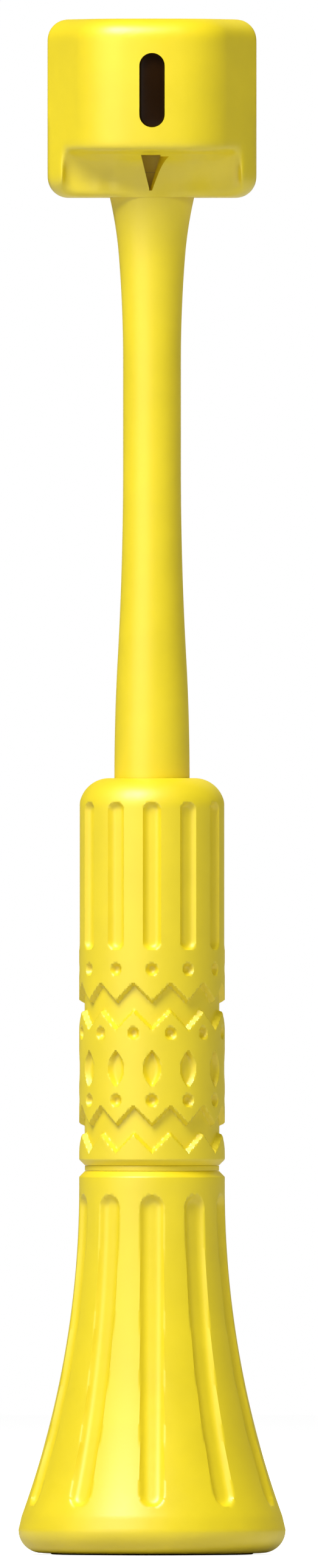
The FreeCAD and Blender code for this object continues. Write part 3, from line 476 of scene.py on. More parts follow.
def soften(value, edge):
    """0 outside a form, 1 inside it, with an even slope over the edge."""
    share = min(max(value / edge + 0.5, 0.0), 1.0)
    return share * share * (3 - 2 * share)


def hollow(off, half_width):
    """The depth of a groove with steep sides at a distance from its middle line, from 0 to 1."""
    return max(1 - (off / half_width) ** 4, 0.0)


def apply_weighted(piece, weigh, kind, **settings):
    """Applies a modifier where weigh, asked for each vertex in millimetres, gives more than 0."""
    group = piece.vertex_groups.new(name="Weights")
    for vertex in piece.data.vertices:
        weight = weigh(*(vertex.co / MM))
        if weight > 0:
            group.add([vertex.index], weight, "REPLACE")
    apply_modifier(piece, kind, vertex_group=group.name, **settings)
    piece.vertex_groups.clear()


def sink(piece, pattern, depth):
    """Presses a pattern into a piece. It gives 0 to 1 at an angle from the front, a height and a radius."""
    apply_weighted(piece, lambda x, y, z: pattern(math.atan2(x, -y), z, math.hypot(x, y)),
                   "DISPLACE", direction="NORMAL", mid_level=0.0, strength=-depth)


def select_edges(test):
    """Selects the edges whose two ends pass a test, in edit mode."""
    piece = bpy.context.object
    bpy.ops.mesh.select_all(action="DESELECT")
    bpy.ops.object.mode_set(mode="OBJECT")
    vertices = piece.data.vertices
    for edge in piece.data.edges:
        edge.select = all(test(vertices[index].co / MM) for index in edge.vertices)
    bpy.ops.object.mode_set(mode="EDIT")
    bpy.ops.mesh.select_mode(type="EDGE")


def finish_piece(piece, material, body, nodes, angle=PLAIN_ANGLE):
    """Shades a piece, gives it its finish and tells the frame what it stands for."""
    pick(piece)
    bpy.ops.object.shade_smooth_by_angle(angle=math.radians(angle))
    piece.data.materials.clear()
    piece.data.materials.append(material)
    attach(piece, body)
    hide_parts(*nodes)


# ---- finishes ----

def shades(colour, factor):
    """The colour made darker or lighter, as a four-part value."""
    return tuple(min(part * factor, 1.0) for part in colour) + (1.0,)


def noise(nodes, links, mapping, scale, detail):
    """The value of a noise texture laid on the piece."""
    texture = nodes.new("ShaderNodeTexNoise")
    texture.inputs["Scale"].default_value = scale
    texture.inputs["Detail"].default_value = detail
    links.new(mapping.outputs["Vector"], texture.inputs["Vector"])
    return texture.outputs["Fac"]


def plain_finish(name, colour, roughness, metallic=0.0, grain=1800.0, bump=0.12, mottle=0.06,
                 stretch=(1, 1, 1), specular=0.5):
    """A moulded, cast or turned surface: two close tones, uneven gloss and a fine grain."""
    material = bpy.data.materials.new(name)
    material.use_nodes = True
    nodes, links = material.node_tree.nodes, material.node_tree.links
    surface = nodes["Principled BSDF"]
    surface.inputs["Metallic"].default_value = metallic
    surface.inputs["Specular IOR Level"].default_value = specular
    place = nodes.new("ShaderNodeTexCoord")
    mapping = nodes.new("ShaderNodeMapping")
    mapping.inputs["Scale"].default_value = stretch
    links.new(place.outputs["Object"], mapping.inputs["Vector"])

    clouds = noise(nodes, links, mapping, TONE_SCALE, TONE_DETAIL)
    tones = nodes.new("ShaderNodeValToRGB")
    tones.color_ramp.elements[0].position = TONE_LOW
    tones.color_ramp.elements[0].color = shades(colour, 1.0 - mottle)
    tones.color_ramp.elements[1].position = TONE_HIGH
    tones.color_ramp.elements[1].color = shades(colour, 1.0 + mottle / 2)
    links.new(clouds, tones.inputs["Fac"])
    links.new(tones.outputs["Color"], surface.inputs["Base Color"])

    patches = noise(nodes, links, mapping, GLOSS_SCALE, GLOSS_DETAIL)
    gloss = nodes.new("ShaderNodeMapRange")
    gloss.inputs["To Min"].default_value = max(roughness - GLOSS_SWING, GLOSS_LEAST)
    gloss.inputs["To Max"].default_value = min(roughness + GLOSS_SWING, 1.0)
    links.new(patches, gloss.inputs["Value"])
    links.new(gloss.outputs["Result"], surface.inputs["Roughness"])

    fine = noise(nodes, links, mapping, grain, GRAIN_DETAIL)
    raised = nodes.new("ShaderNodeBump")
    raised.inputs["Strength"].default_value = bump
    raised.inputs["Distance"].default_value = GRAIN_HEIGHT * MM
    links.new(fine, raised.inputs["Height"])
    links.new(raised.outputs["Normal"], surface.inputs["Normal"])
    return material


def finish_for(name, *values, **settings):
    """The plain finish of that name, made the first time that it is asked for."""
    return bpy.data.materials.get(name) or plain_finish(name, *values, **settings)


def satin_plastic():
    """The moulded plastic of bell, neck, head and button."""
    return finish_for("Satin Plastic", bpy.context.scene.scanner_colours.plastic, 0.42, specular=1.0)


def soft_grip():
    """The softer plastic of the grip sleeve and the seal."""
    return finish_for("Soft Grip", bpy.context.scene.scanner_colours.grip, 0.46, bump=0.16, specular=1.0)


def rubber():
    """The dark rubber of the foot ring."""
    return finish_for("Foot Rubber", bpy.context.scene.scanner_colours.rubber, 0.72, bump=0.3)


def painted_shade_pane():
    """A glossy dark pane. Its near-black brown is painted shade: it stands in for the shade deep in the slot."""
    return finish_for("Slot Pane Painted Shade", bpy.context.scene.scanner_colours.window, 0.22,
                      bump=0.02, mottle=0.2, specular=0.15)


BRASS = (0.50, 0.31, 0.09)
BRASS_ROUGHNESS = 0.34
BRASS_GRAIN = {"stretch": (1, 1, 12)}
INSIDE_FINISHES = {
    # finish: colour, roughness, metallic, extra settings, nodes
    "Dark Plastic": ((0.030, 0.030, 0.033), 0.50, 0.0, {},
                     ("base_cover", "cell_holder", "board_carrier", "tact_switch", "buzzer", "grip_cap")),
    "Cast Steel": ((0.42, 0.42, 0.43), 0.42, 1.0, {"stretch": (1, 1, 8)},
                   ("ballast_weight", "neck_liner")),
    "Screw Steel": ((0.55, 0.55, 0.56), 0.28, 1.0, {"bump": 0.05},
                    ("base_screws", "head_screws")),
    "Turned Brass": (BRASS, BRASS_ROUGHNESS, 1.0, BRASS_GRAIN, ("neck_nut",)),
    "Contact Metal": ((0.70, 0.66, 0.58), 0.25, 1.0, {"bump": 0.05},
                      ("spring_plate", "battery_spring", "positive_contact")),
    "Cell Wrap": ((0.06, 0.16, 0.34), 0.35, 0.0, {"bump": 0.04}, ("battery_cell",)),
    "Board Lacquer": ((0.02, 0.16, 0.06), 0.38, 0.0, {"mottle": 0.3, "grain": 900.0},
                      ("main_board", "head_board")),
    "Chip Resin": ((0.020, 0.020, 0.022), 0.62, 0.0, {}, ("board_chips",)),
    "Cable Jacket": ((0.16, 0.16, 0.17), 0.55, 0.0, {}, ("coil_cable",)),
    "Clear Plastic": ((0.78, 0.80, 0.82), 0.12, 0.0, {"bump": 0.02}, ("light_pipe",)),
    "Light Resin": ((0.85, 0.83, 0.74), 0.30, 0.0, {}, ("indicator_lights",)),
    "Bobbin Plastic": ((0.72, 0.71, 0.67), 0.45, 0.0, {}, ("coil_bobbin",)),
    "Copper Wire": ((0.72, 0.30, 0.12), 0.28, 1.0,
                    {"stretch": (1, 14, 1), "bump": 0.5, "grain": 600.0}, ("coil_winding",)),
    "Grip Core Plastic": ((0.86, 0.68, 0.05), 0.48, 0.0, {}, ("grip_core",)),
}


# ---- pieces ----

def notch_tools():
    """The V-shaped notch in the scoop and in the neck's top, and its slanted right-hand wall."""
    corners = [(x, -HEAD_REACH, z) for x, z in NOTCH_CORNERS]
    yield prism("notch_cutter", corners, (0, NOTCH_BACK + HEAD_REACH, 0))
    (foot, low), (side, high) = NOTCH_CORNERS[:2]
    slant = [
        (foot, NOTCH_SLANT_BACK, low),
        (foot + NOTCH_SLANT, NOTCH_SLANT_FRONT, low),
        (foot - NOTCH_SLANT_FOOT, NOTCH_SLANT_FRONT, low),
    ]
    yield prism("notch_side_cutter", slant, (side - foot, 0, high - low))


class SCANNER_OT_bell(bpy.types.Operator):
    """Model the weighted bell with its flutes"""

    bl_idname = "scanner.bell"
    bl_label = "Bell"

    def execute(self, context):
        sizes = context.scene.scanner_sizes
        edge_low = (BELL_RADIUS - BELL_ROUND, BELL_BOTTOM)
        edge_high = (BELL_RADIUS, BELL_BOTTOM + BELL_ROUND)
        outside = [edge_low] + arc(edge_low, edge_high, BELL_ROUND, CORNER_STEPS)
        flare = [FLARE_FOOT] + arc(FLARE_FOOT, FLARE_TOP, -FLARE_ARC, FLARE_STEPS)
        shoulder = rounded([
            FLARE_TOP,
            (GRIP_RADIUS, BELL_TOP - GROOVE_SLOPE, GROOVE_EDGE),
            (GROOVE_RADIUS, BELL_TOP, GROOVE_FOOT),
            (BELL_LIP_RADIUS, BELL_TOP),
        ])
        inside = [
            (BELL_LIP_RADIUS, BELL_TOP - BELL_LIP),
            (BELL_BORE, BELL_TOP - BELL_LIP),
            (BELL_BORE, BAY_END),
            (BALLAST_BORE, BALLAST_TOP),
            (BALLAST_BORE, COVER_LEDGE),
            (BELL_OPENING, COVER_LEDGE),
            (BELL_OPENING, BELL_BOTTOM + BELL_OPENING_CHAMFER),
            (BELL_OPENING + BELL_OPENING_CHAMFER, BELL_BOTTOM),
        ]
        outer = evened(outside + flare, BELL_SPACING)
        bell = lathe("bell", outer + shoulder[1:] + inside, BELL_STEPS)
        middle = (BELL_FLUTE_LOW + BELL_FLUTE_HIGH) / 2
        straight = (BELL_FLUTE_HIGH - BELL_FLUTE_LOW - BELL_FLUTE_WIDTH) / 2
        pitch = FULL_TURN / BELL_FLUTES

        def flute(angle, height, radius):
            if radius < GROOVE_RADIUS or not BELL_FLUTE_LOW < height < BELL_FLUTE_HIGH:
                return 0.0
            if radius < BALLAST_BORE + BORE_MARGIN and height < BAY_END - BAY_MARGIN:
                return 0.0
            off = (angle - pitch * round(angle / pitch)) * radius
            beyond = max(abs(height - middle) - straight, 0.0)
            return hollow(math.hypot(off, beyond), BELL_FLUTE_WIDTH / 2)

        sink(bell, flute, sizes.bell_flute_depth)
        finish_piece(bell, satin_plastic(), "base", ["bell_shell"])
        return {"FINISHED"}


class SCANNER_OT_foot(bpy.types.Operator):
    """Model the rubber foot ring"""

    bl_idname = "scanner.foot"
    bl_label = "Foot Ring"

    def execute(self, context):
        corners = [(FOOT_INNER, FOOT_HEIGHT), (FOOT_INNER, 0.0, FOOT_EDGE)]
        for middle in FOOT_GROOVES:
            corners += [
                (middle - FOOT_GROOVE_SIZE, 0.0, FOOT_GROOVE_EDGE),
                (middle, FOOT_GROOVE_SIZE, FOOT_GROOVE_EDGE),
                (middle + FOOT_GROOVE_SIZE, 0.0, FOOT_GROOVE_EDGE),
            ]
        corners += [(FOOT_OUTER, 0.0, FOOT_EDGE), (FOOT_OUTER, FOOT_HEIGHT)]
        ring = lathe("foot_ring_rubber", rounded(corners, EDGE_STEPS), RING_STEPS)
        finish_piece(ring, rubber(), "base", ["foot_ring"])
        return {"FINISHED"}


class SCANNER_OT_seal(bpy.types.Operator):
    """Model the seal between bell and grip"""

    bl_idname = "scanner.seal"
    bl_label = "Joint Seal"

    def execute(self, context):
        outline = rounded([
            (SEAL_INNER, SEAL_LOW),
            (GROOVE_RADIUS, SEAL_LOW, SEAL_EDGE),
            (GROOVE_RADIUS, SEAL_HIGH, SEAL_EDGE),
            (SEAL_INNER, SEAL_HIGH),
        ])
        seal = lathe("seal_ring", outline, RING_STEPS)
        finish_piece(seal, soft_grip(), "seal", ["joint_seal"])
        return {"FINISHED"}


class SCANNER_OT_insert(bpy.types.Operator):
    """Model the threaded brass insert that the grip screws onto"""

    bl_idname = "scanner.insert"
    bl_label = "Threaded Insert"

    def execute(self, context):
        root, quarter = THREAD_RADIUS - THREAD_DEPTH, THREAD_PITCH / 4
        profile = [
            (INSERT_BORE, INSERT_LOW),
            (INSERT_RADIUS, INSERT_LOW),
            (INSERT_RADIUS, INSERT_SHOULDER),
            (THREAD_RADIUS, INSERT_SHOULDER),
        ]
        for turn in range(THREAD_TURNS):
            start = THREAD_LOW + turn * THREAD_PITCH
            profile += [
                (THREAD_RADIUS, start),
                (root, start + quarter),
                (root, start + 2 * quarter),
                (THREAD_RADIUS, start + 3 * quarter),
            ]
        profile += [
            (THREAD_RADIUS, INSERT_TOP - THREAD_DEPTH),
            (root, INSERT_TOP),
            (INSERT_BORE, INSERT_TOP),
        ]
        insert = lathe("insert_threaded", profile, RING_STEPS)
        brass = finish_for("Turned Brass", BRASS, BRASS_ROUGHNESS, 1.0, **BRASS_GRAIN)
        finish_piece(insert, brass, "base", ["threaded_insert"], THREAD_ANGLE)
        return {"FINISHED"}


class SCANNER_OT_grip(bpy.types.Operator):
    """Model the grip sleeve with its moulded pattern"""

    bl_idname = "scanner.grip"
    bl_label = "Grip"

    def execute(self, context):
        sizes = context.scene.scanner_sizes
        edge = sizes.relief_edge / MM
        shoulder_start = (GRIP_RADIUS, GRIP_HIGH - GRIP_SHOULDER)
        shoulder_end = (GRIP_RADIUS - GRIP_SHOULDER, GRIP_HIGH)
        foot = rounded([
            (GRIP_BORE, GRIP_LOW),
            (GROOVE_RADIUS, GRIP_LOW, GROOVE_FOOT),
            (GRIP_RADIUS, GRIP_LOW + GROOVE_SLOPE, GROOVE_EDGE),
            shoulder_start,
        ])
        shoulder = arc(shoulder_start, shoulder_end, GRIP_SHOULDER, SHOULDER_STEPS)
        outer = evened(foot[1:] + shoulder, GRIP_SPACING)
        inner_round = GRIP_SHOULDER - GRIP_RADIUS + GRIP_BORE
        inside = [(NECK_HOLE, GRIP_HIGH), (NECK_HOLE, GRIP_HIGH - GRIP_SHOULDER_INSIDE)]
        under = (GRIP_BORE - inner_round, GRIP_HIGH - GRIP_SHOULDER_INSIDE)
        bore_top = (GRIP_BORE, GRIP_HIGH - GRIP_SHOULDER)
        inside += [under] + arc(under, bore_top, -inner_round, BORE_STEPS)
        sleeve = lathe("grip_sleeve_moulded", foot[:1] + outer + inside, GRIP_STEPS)
        sink(sleeve, lambda *place: self.pattern(edge, *place), sizes.relief_depth)
        width, height = BUTTON_WIDTH + 2 * BUTTON_GAP, BUTTON_HEIGHT + 2 * BUTTON_GAP
        opening = obround(BUTTON_MIDDLE, width, height, BUTTON_BACK)
        combine(sleeve, prism("opening_cutter", opening, (0, GRIP_RADIUS, 0)))
        finish_piece(sleeve, soft_grip(), "handle", ["grip_sleeve"])
        return {"FINISHED"}

    def pattern(self, edge, angle, height, radius):
        """How deep the grip's pattern is at a place on its outside, from 0 to 1."""
        if radius < GRIP_BORE + BORE_MARGIN:
            return 0.0
        pitch = FULL_TURN / TEETH
        turn = angle / pitch
        off = (turn - round(turn)) * pitch * GRIP_RADIUS
        straight = (FLUTE_HIGH - FLUTE_LOW - FLUTE_WIDTH) / 2
        beyond = max(abs(height - (FLUTE_LOW + FLUTE_HIGH) / 2) - straight, 0.0)
        depth = hollow(math.hypot(off, beyond), FLUTE_WIDTH / 2)
        steep = math.cos(math.atan(ZIGZAG_SWING / (pitch / 2 * GRIP_RADIUS)))
        rise = ZIGZAG_SWING * 2 * abs(turn - round(turn))
        for valley in ZIGZAG_VALLEYS:
            above = height - valley - rise
            depth = max(depth, soften(min(above, ZIGZAG_WIDTH - above) * steep, edge))
        along = (height - LEAF_MIDDLE) / (LEAF_HEIGHT / 2)
        half_leaf = LEAF_WIDTH / 2 * (1 - along * along)
        if half_leaf > 0:
            depth = max(depth, hollow(off, half_leaf) * min(half_leaf / edge, 1.0))
        for level, shift in DOT_ROWS:
            aside = (turn - shift - round(turn - shift)) * pitch * GRIP_RADIUS
            depth = max(depth, hollow(math.hypot(aside, height - level), DOT_RADIUS))
        return depth


class SCANNER_OT_button(bpy.types.Operator):
    """Model the scan button with its thumb rest"""

    bl_idname = "scanner.button"
    bl_label = "Scan Button"

    def execute(self, context):
        sizes = context.scene.scanner_sizes
        outline = obround(BUTTON_MIDDLE, BUTTON_WIDTH, BUTTON_HEIGHT, BUTTON_BACK, SMOOTH_SLOT_STEPS)
        button = prism("scan_button_cap", outline, (0, BUTTON_FACE - BUTTON_BACK, 0))
        edit()
        select_edges(lambda place: place.y > BUTTON_FACE - NEAR)
        bpy.ops.mesh.bevel(offset=BUTTON_BEVEL * MM, segments=BUTTON_STEPS, affect="EDGES", profile=0.5)
        select_edges(lambda place: place.y > BUTTON_FACE - NEAR)
        bpy.ops.mesh.select_mode(type="FACE")
        bpy.ops.mesh.inset(thickness=BUTTON_RIM * MM)
        bpy.ops.mesh.inset(thickness=BUTTON_REST_SLOPE * MM, depth=-sizes.button_dish)
        close_skin()
        finish_piece(button, satin_plastic(), "button", ["scan_button"], ROUND_ANGLE)
        return {"FINISHED"}


class SCANNER_OT_neck(bpy.types.Operator):
    """Model the trumpet-shaped neck"""

    bl_idname = "scanner.neck"
    bl_label = "Neck"

    def execute(self, context):
        outline = [
            (NECK_BORE, NECK_ROOT_LOW),
            (NECK_ROOT, NECK_ROOT_LOW),
            (NECK_ROOT, NECK_PROFILE[0][1]),
            NECK_PROFILE[0],
        ]
        for start, end, radius in zip(NECK_PROFILE, NECK_PROFILE[1:], NECK_ARCS):
            if radius:
                outline += arc(start, end, radius, NECK_ARC_STEPS)
            else:
                outline += evened([start, end], NECK_SPACING)[1:]
        outline += [(NECK_TOP[0], HEAD_LOW + NECK_STEP), NECK_TOP, (NECK_BORE, NECK_TOP[1])]
        neck = lathe("neck_moulded", outline, NECK_STEPS)
        for tool in notch_tools():
            combine(neck, tool)
        finish_piece(neck, satin_plastic(), "handle", ["neck_tube"])
        return {"FINISHED"}


class SCANNER_OT_head(bpy.types.Operator):
    """Model the head's two shells with the scoop, the notch, the slot and the screw sinks"""

    bl_idname = "scanner.head"
    bl_label = "Head"

    def execute(self, context):
        sizes = context.scene.scanner_sizes
        head = self.block()
        for tool in self.scoop():
            combine(head, tool)
        fairing = [(0.0, FAIRING[0][1])] + list(FAIRING) + [(0.0, FAIRING[-1][1])]
        combine(head, lathe("fairing", fairing, FAIRING_STEPS), "UNION")
        apply_modifier(head, "REMESH", mode="VOXEL", voxel_size=HEAD_VOXEL * MM, adaptivity=0.0)
        apply_modifier(head, "SMOOTH", factor=SMOOTH_FACTOR, iterations=HEAD_SMOOTH_ROUNDS)
        apply_weighted(head, lambda x, y, z: soften(SCOOP_SOFT_TOP - z, HEAD_ROUND) * soften(-y, HEAD_ROUND),
                       "SMOOTH", factor=SMOOTH_FACTOR, iterations=SCOOP_SOFT_ROUNDS)
        for tools in (notch_tools(), self.rooms(), self.holes()):
            for tool in tools:
                combine(head, tool)
        pick(head)
        bpy.ops.object.duplicate()
        rear = bpy.context.object
        head.name, rear.name = "head_front_moulded", "head_rear_moulded"
        half = sizes.seam / 2 / MM
        self.keep(head, -1, half)
        self.keep(rear, 1, half)
        finish_piece(head, satin_plastic(), "handle", ["head_front_shell"])
        finish_piece(rear, satin_plastic(), "handle", ["head_rear_shell"])
        return {"FINISHED"}

    def plan(self, inset=0.0):
        """The head's outline seen from above, in millimetres."""
        nose_left = (-NOSE_EDGE[0], NOSE_EDGE[1])
        crease_left = (-NOSE_CREASE[0], NOSE_CREASE[1])
        back = HEAD_BACK - HEAD_BACK_ROUND
        side = HEAD_SIDE - HEAD_BACK_ROUND
        points = [nose_left]
        points += arc(nose_left, NOSE_EDGE, NOSE_MIDDLE_ARC, CORNER_STEPS)
        points += arc(NOSE_EDGE, NOSE_CREASE, NOSE_SIDE_ARC, NOSE_STEPS)
        points += [(HEAD_SIDE, FLANK_END), (HEAD_SIDE, back)]
        points += arc((HEAD_SIDE, back), (side, HEAD_BACK), HEAD_BACK_ROUND, CORNER_STEPS)
        points += [(-side, HEAD_BACK)]
        points += arc((-side, HEAD_BACK), (-HEAD_SIDE, back), HEAD_BACK_ROUND, CORNER_STEPS)
        points += [(-HEAD_SIDE, FLANK_END), crease_left]
        points += arc(crease_left, nose_left, NOSE_SIDE_ARC, NOSE_STEPS)[:-1]
        if not inset:
            return points
        moved = []
        for index, point in enumerate(points):
            ahead = Vector(points[(index + 1) % len(points)]) - Vector(points[index - 1])
            moved.append(tuple(Vector(point) + Vector((-ahead.y, ahead.x)).normalized() * inset))
        return moved

    def block(self):
        """The head's outer form with its rounded rims."""
        block = upright("head_block", self.plan(), HEAD_LOW, HEAD_HIGH)
        edit()
        for level in (HEAD_LOW, HEAD_HIGH):
            select_edges(lambda place: abs(place.z - level) < NEAR)
            bpy.ops.mesh.bevel(offset=HEAD_ROUND * MM, segments=CORNER_STEPS, affect="EDGES", profile=0.5,
                               clamp_overlap=False)
        close_skin()
        return block

    def front(self, x):
        """The depth of the head's outline at a place across, in millimetres."""
        x = abs(x)
        if x <= NOSE_EDGE[0]:
            return NOSE_EDGE[1]
        if x <= NOSE_CREASE[0]:
            points = [NOSE_EDGE] + arc(NOSE_EDGE, NOSE_CREASE, NOSE_SIDE_ARC, NOSE_STEPS)
            return next(start[1] + (end[1] - start[1]) * (x - start[0]) / (end[0] - start[0])
                        for start, end in zip(points, points[1:]) if x <= end[0] + 1e-6)
        slope = (FLANK_END - NOSE_CREASE[1]) / (HEAD_SIDE - NOSE_CREASE[0])
        return NOSE_CREASE[1] + (x - NOSE_CREASE[0]) * slope

    def scoop(self):
        """The cove under the nose in steps that the smoothing melts, and the pocket at each end."""
        low = HEAD_LOW - HEAD_ROUND
        places = [SCOOP_SIDE * (2 * index / SCOOP_STEPS - 1) for index in range(SCOOP_STEPS + 1)]
        for level in range(SCOOP_LEVELS):
            share = (level + 0.5) / SCOOP_LEVELS
            high = SCOOP_LOW + (SCOOP_HIGH - SCOOP_LOW) * (level + 1) / SCOOP_LEVELS
            lean = 1 - math.sqrt(1 - share * share)
            outline = []
            for x in places:
                lip = min(self.front(x) + NOSE_LIP, SCOOP_BACK)
                outline.append((x, self.wall(x) * (1 - lean) + lip * lean))
            outline += [(SCOOP_SIDE, -HEAD_REACH), (-SCOOP_SIDE, -HEAD_REACH)]
            yield upright("scoop_cutter", outline, low, high)

    def wall(self, x):
        """The depth of the scoop's wall at its foot, deeper towards its ends."""
        return SCOOP_BACK + (POCKET_BACK - SCOOP_BACK) * soften(abs(x) - POCKET_SIDE, POCKET_SLOPE)

    def rooms(self):
        """The hollows inside the head."""
        yield upright("upper_room", self.plan(HEAD_WALL + HEAD_ROOM_SPARE), ROOM_LOW, HEAD_HIGH - HEAD_WALL)
        yield upright("lower_room", oblong(ROOM_SIDE, ROOM_FRONT, ROOM_BACK), NECK_TOP[1], ROOM_LOW + OVERLAP)
        foot, top = HEAD_LOW + NECK_GAP / 2, NECK_TOP[1] + NECK_GAP
        yield upright("under_cutter", oblong(HEAD_REACH, -HEAD_REACH, HEAD_REACH), foot - SPARE, foot)
        wide, narrow = NECK_PROFILE[-1][0] - NECK_GAP, NECK_TOP[0] + NECK_GAP
        yield lathe("neck_room", [
            (0.0, HEAD_LOW - OVERLAP),
            (wide, HEAD_LOW - OVERLAP),
            (wide, HEAD_LOW),
            (narrow, HEAD_LOW + NECK_STEP),
            (narrow, top),
            (0.0, top),
        ], NECK_STEPS)

    def holes(self):
        """The slot in front and the sinks of the screws behind."""
        slot = obround(SLOT_MIDDLE, SLOT_WIDTH, SLOT_HEIGHT, -HEAD_REACH)
        yield prism("slot_cutter", slot, (0, HEAD_REACH + NOTCH_BACK, 0))
        rim = obround(0, 2 * HEAD_SINK_RADIUS, 2 * HEAD_SINK_RADIUS, HEAD_SCREW_SEAT)
        for x, z in HEAD_SCREWS:
            outline = [(x + across, depth, z + up) for across, depth, up in rim]
            yield prism("sink_cutter", outline, (0, HEAD_BACK, 0))

    def keep(self, shell, side, half):
        """Keeps the part of the head on one side of the seam."""
        corners = oblong(HEAD_REACH, side * half, side * HEAD_REACH)
        combine(shell, upright("half_tool", corners, HEAD_LOW - SPARE, HEAD_HIGH + SPARE), "INTERSECT")


class SCANNER_OT_window(bpy.types.Operator):
    """Model the dark pane in the slot, whose near-black brown is painted shade of the slot's depth"""

    bl_idname = "scanner.window"
    bl_label = "Window"

    def execute(self, context):
        width, height = SLOT_WIDTH - WINDOW_GAP, SLOT_HEIGHT - WINDOW_GAP
        outline = obround(SLOT_MIDDLE, width, height, WINDOW_FACE, SMOOTH_SLOT_STEPS)
        pane = prism("window_pane", outline, (0, WINDOW_BACK - WINDOW_FACE, 0))
        edit()
        select_edges(lambda place: place.y < WINDOW_FACE + NEAR)
        bpy.ops.mesh.bevel(offset=WINDOW_BEVEL * MM, segments=EDGE_STEPS, affect="EDGES", profile=0.5)
        close_skin()
        finish_piece(pane, painted_shade_pane(), "handle", ["slot_window"], ROUND_ANGLE)
        return {"FINISHED"}


class SCANNER_OT_inside(bpy.types.Operator):
    """Give the inner pieces and the fasteners their finishes"""

    bl_idname = "scanner.inside"
    bl_label = "Inner Pieces"

    def execute(self, context):
        for name, (colour, roughness, metallic, extra, nodes) in INSIDE_FINISHES.items():
            material = finish_for(name, colour, roughness, metallic, **extra)
            for node in nodes:
                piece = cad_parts[node]
                piece.data.materials.clear()
                piece.data.materials.append(material)
        return {"FINISHED"}


# ---- stage ----

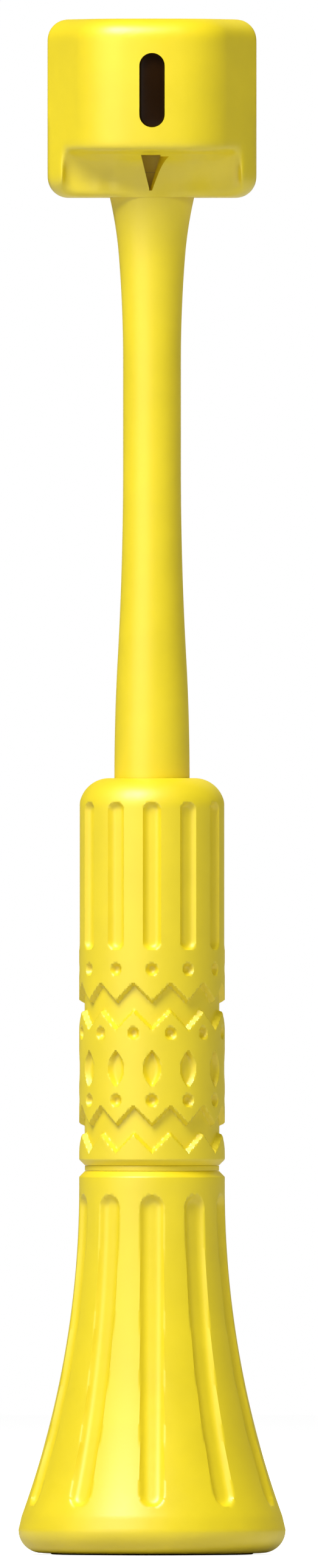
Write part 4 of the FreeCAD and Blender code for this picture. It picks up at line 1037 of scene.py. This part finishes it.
class SCANNER_OT_stage(bpy.types.Operator):
    """Set up the floor, the lamps, the world and the camera"""

    bl_idname = "scanner.stage"
    bl_label = "Stage"

    def execute(self, context):
        clear_selection()
        bpy.ops.mesh.primitive_plane_add(size=FLOOR_SIZE, location=(0, 0, cad_low.z))
        floor = bpy.context.object
        floor.name = "floor"
        bpy.ops.object.transform_apply(location=True)
        floor.data.materials.append(self.floor_finish())
        for name, values in LAMPS.items():
            self.lamp(context.scene, name, *values)
        self.world(context.scene)
        self.camera(context.scene)
        context.scene.view_settings.view_transform = "Standard"
        return {"FINISHED"}

    def lamp(self, scene, name, place, size, power, left_out):
        """A soft square lamp aimed at the scanner."""
        data = bpy.data.lights.new(name, "AREA")
        data.size = size
        data.energy = power
        lamp = bpy.data.objects.new(name, data)
        scene.collection.objects.link(lamp)
        lamp.location = place
        aim = (cad_low + cad_high) / 2 - Vector(place)
        lamp.rotation_euler = aim.to_track_quat("-Z", "Y").to_euler()
        if left_out:
            setattr(lamp, left_out, False)

    def camera(self, scene):
        """A camera with a very long lens, level with the middle of the scanner."""
        data = bpy.data.cameras.new("camera")
        data.sensor_fit = "VERTICAL"
        data.sensor_height = SENSOR_HEIGHT
        data.sensor_width = SENSOR_WIDTH
        data.lens = LENS
        camera = bpy.data.objects.new("camera", data)
        scene.collection.objects.link(camera)
        distance = VIEW_HEIGHT * LENS / SENSOR_HEIGHT
        camera.location = Vector((VIEW_MIDDLE[0], -distance, VIEW_MIDDLE[1])) * MM
        camera.rotation_euler = (math.pi / 2, 0, 0)
        scene.camera = camera

    def floor_finish(self):
        """Pale matt paper that still shows a soft shadow."""
        material = bpy.data.materials.new("Pale Paper")
        material.use_nodes = True
        nodes, links = material.node_tree.nodes, material.node_tree.links
        surface = nodes["Principled BSDF"]
        surface.inputs["Base Color"].default_value = (FLOOR_GREY, FLOOR_GREY, FLOOR_GREY, 1)
        surface.inputs["Roughness"].default_value = FLOOR_ROUGHNESS
        glow = nodes.new("ShaderNodeEmission")
        glow.inputs["Strength"].default_value = FLOOR_GLOW
        none = nodes.new("ShaderNodeEmission")
        none.inputs["Strength"].default_value = 0.0
        ray = nodes.new("ShaderNodeLightPath")
        choice = nodes.new("ShaderNodeMixShader")
        both = nodes.new("ShaderNodeAddShader")
        links.new(ray.outputs["Is Camera Ray"], choice.inputs[0])
        links.new(none.outputs[0], choice.inputs[1])
        links.new(glow.outputs[0], choice.inputs[2])
        links.new(surface.outputs[0], both.inputs[0])
        links.new(choice.outputs[0], both.inputs[1])
        links.new(both.outputs[0], nodes["Material Output"].inputs["Surface"])
        return material

    def world(self, scene):
        """An even pale surround that looks white behind the scanner."""
        world = bpy.data.worlds.new("Studio")
        scene.world = world
        world.use_nodes = True
        nodes, links = world.node_tree.nodes, world.node_tree.links
        around = nodes["Background"]
        around.inputs["Color"].default_value = (1, 1, 1, 1)
        around.inputs["Strength"].default_value = WORLD_LIGHT
        white = nodes.new("ShaderNodeBackground")
        white.inputs["Color"].default_value = (1, 1, 1, 1)
        white.inputs["Strength"].default_value = WORLD_SEEN
        ray = nodes.new("ShaderNodeLightPath")
        choice = nodes.new("ShaderNodeMixShader")
        seen = nodes.new("ShaderNodeMath")
        seen.operation = "MAXIMUM"
        links.new(ray.outputs["Is Camera Ray"], seen.inputs[0])
        links.new(ray.outputs["Is Transmission Ray"], seen.inputs[1])
        links.new(seen.outputs[0], choice.inputs[0])
        links.new(around.outputs[0], choice.inputs[1])
        links.new(white.outputs[0], choice.inputs[2])
        links.new(choice.outputs[0], nodes["World Output"].inputs["Surface"])


PIECE_OPERATORS = (
    SCANNER_OT_bell,
    SCANNER_OT_foot,
    SCANNER_OT_seal,
    SCANNER_OT_insert,
    SCANNER_OT_grip,
    SCANNER_OT_button,
    SCANNER_OT_neck,
    SCANNER_OT_head,
    SCANNER_OT_window,
    SCANNER_OT_inside,
    SCANNER_OT_stage,
)


class SCANNER_PT_panel(bpy.types.Panel):
    """The scanner's pieces in the sidebar"""

    bl_idname = "SCANNER_PT_panel"
    bl_label = "Microchip Scanner"
    bl_space_type = "VIEW_3D"
    bl_region_type = "UI"
    bl_category = "Scanner"

    def draw(self, context):
        for group in (context.scene.scanner_sizes, context.scene.scanner_colours):
            column = self.layout.column()
            for name in group.__annotations__:
                column.prop(group, name)
        for operator in PIECE_OPERATORS:
            self.layout.operator(operator.bl_idname)


CLASSES = (ScannerSizes, ScannerColours) + PIECE_OPERATORS + (SCANNER_PT_panel,)


def register():
    for item in CLASSES:
        bpy.utils.register_class(item)
    bpy.types.Scene.scanner_sizes = bpy.props.PointerProperty(type=ScannerSizes)
    bpy.types.Scene.scanner_colours = bpy.props.PointerProperty(type=ScannerColours)


def unregister():
    del bpy.types.Scene.scanner_colours
    del bpy.types.Scene.scanner_sizes
    for item in reversed(CLASSES):
        bpy.utils.unregister_class(item)


def main():
    register()
    for operator in PIECE_OPERATORS:
        getattr(bpy.ops.scanner, operator.bl_idname.split(".")[1])()


if __name__ == "__main__":
    main()
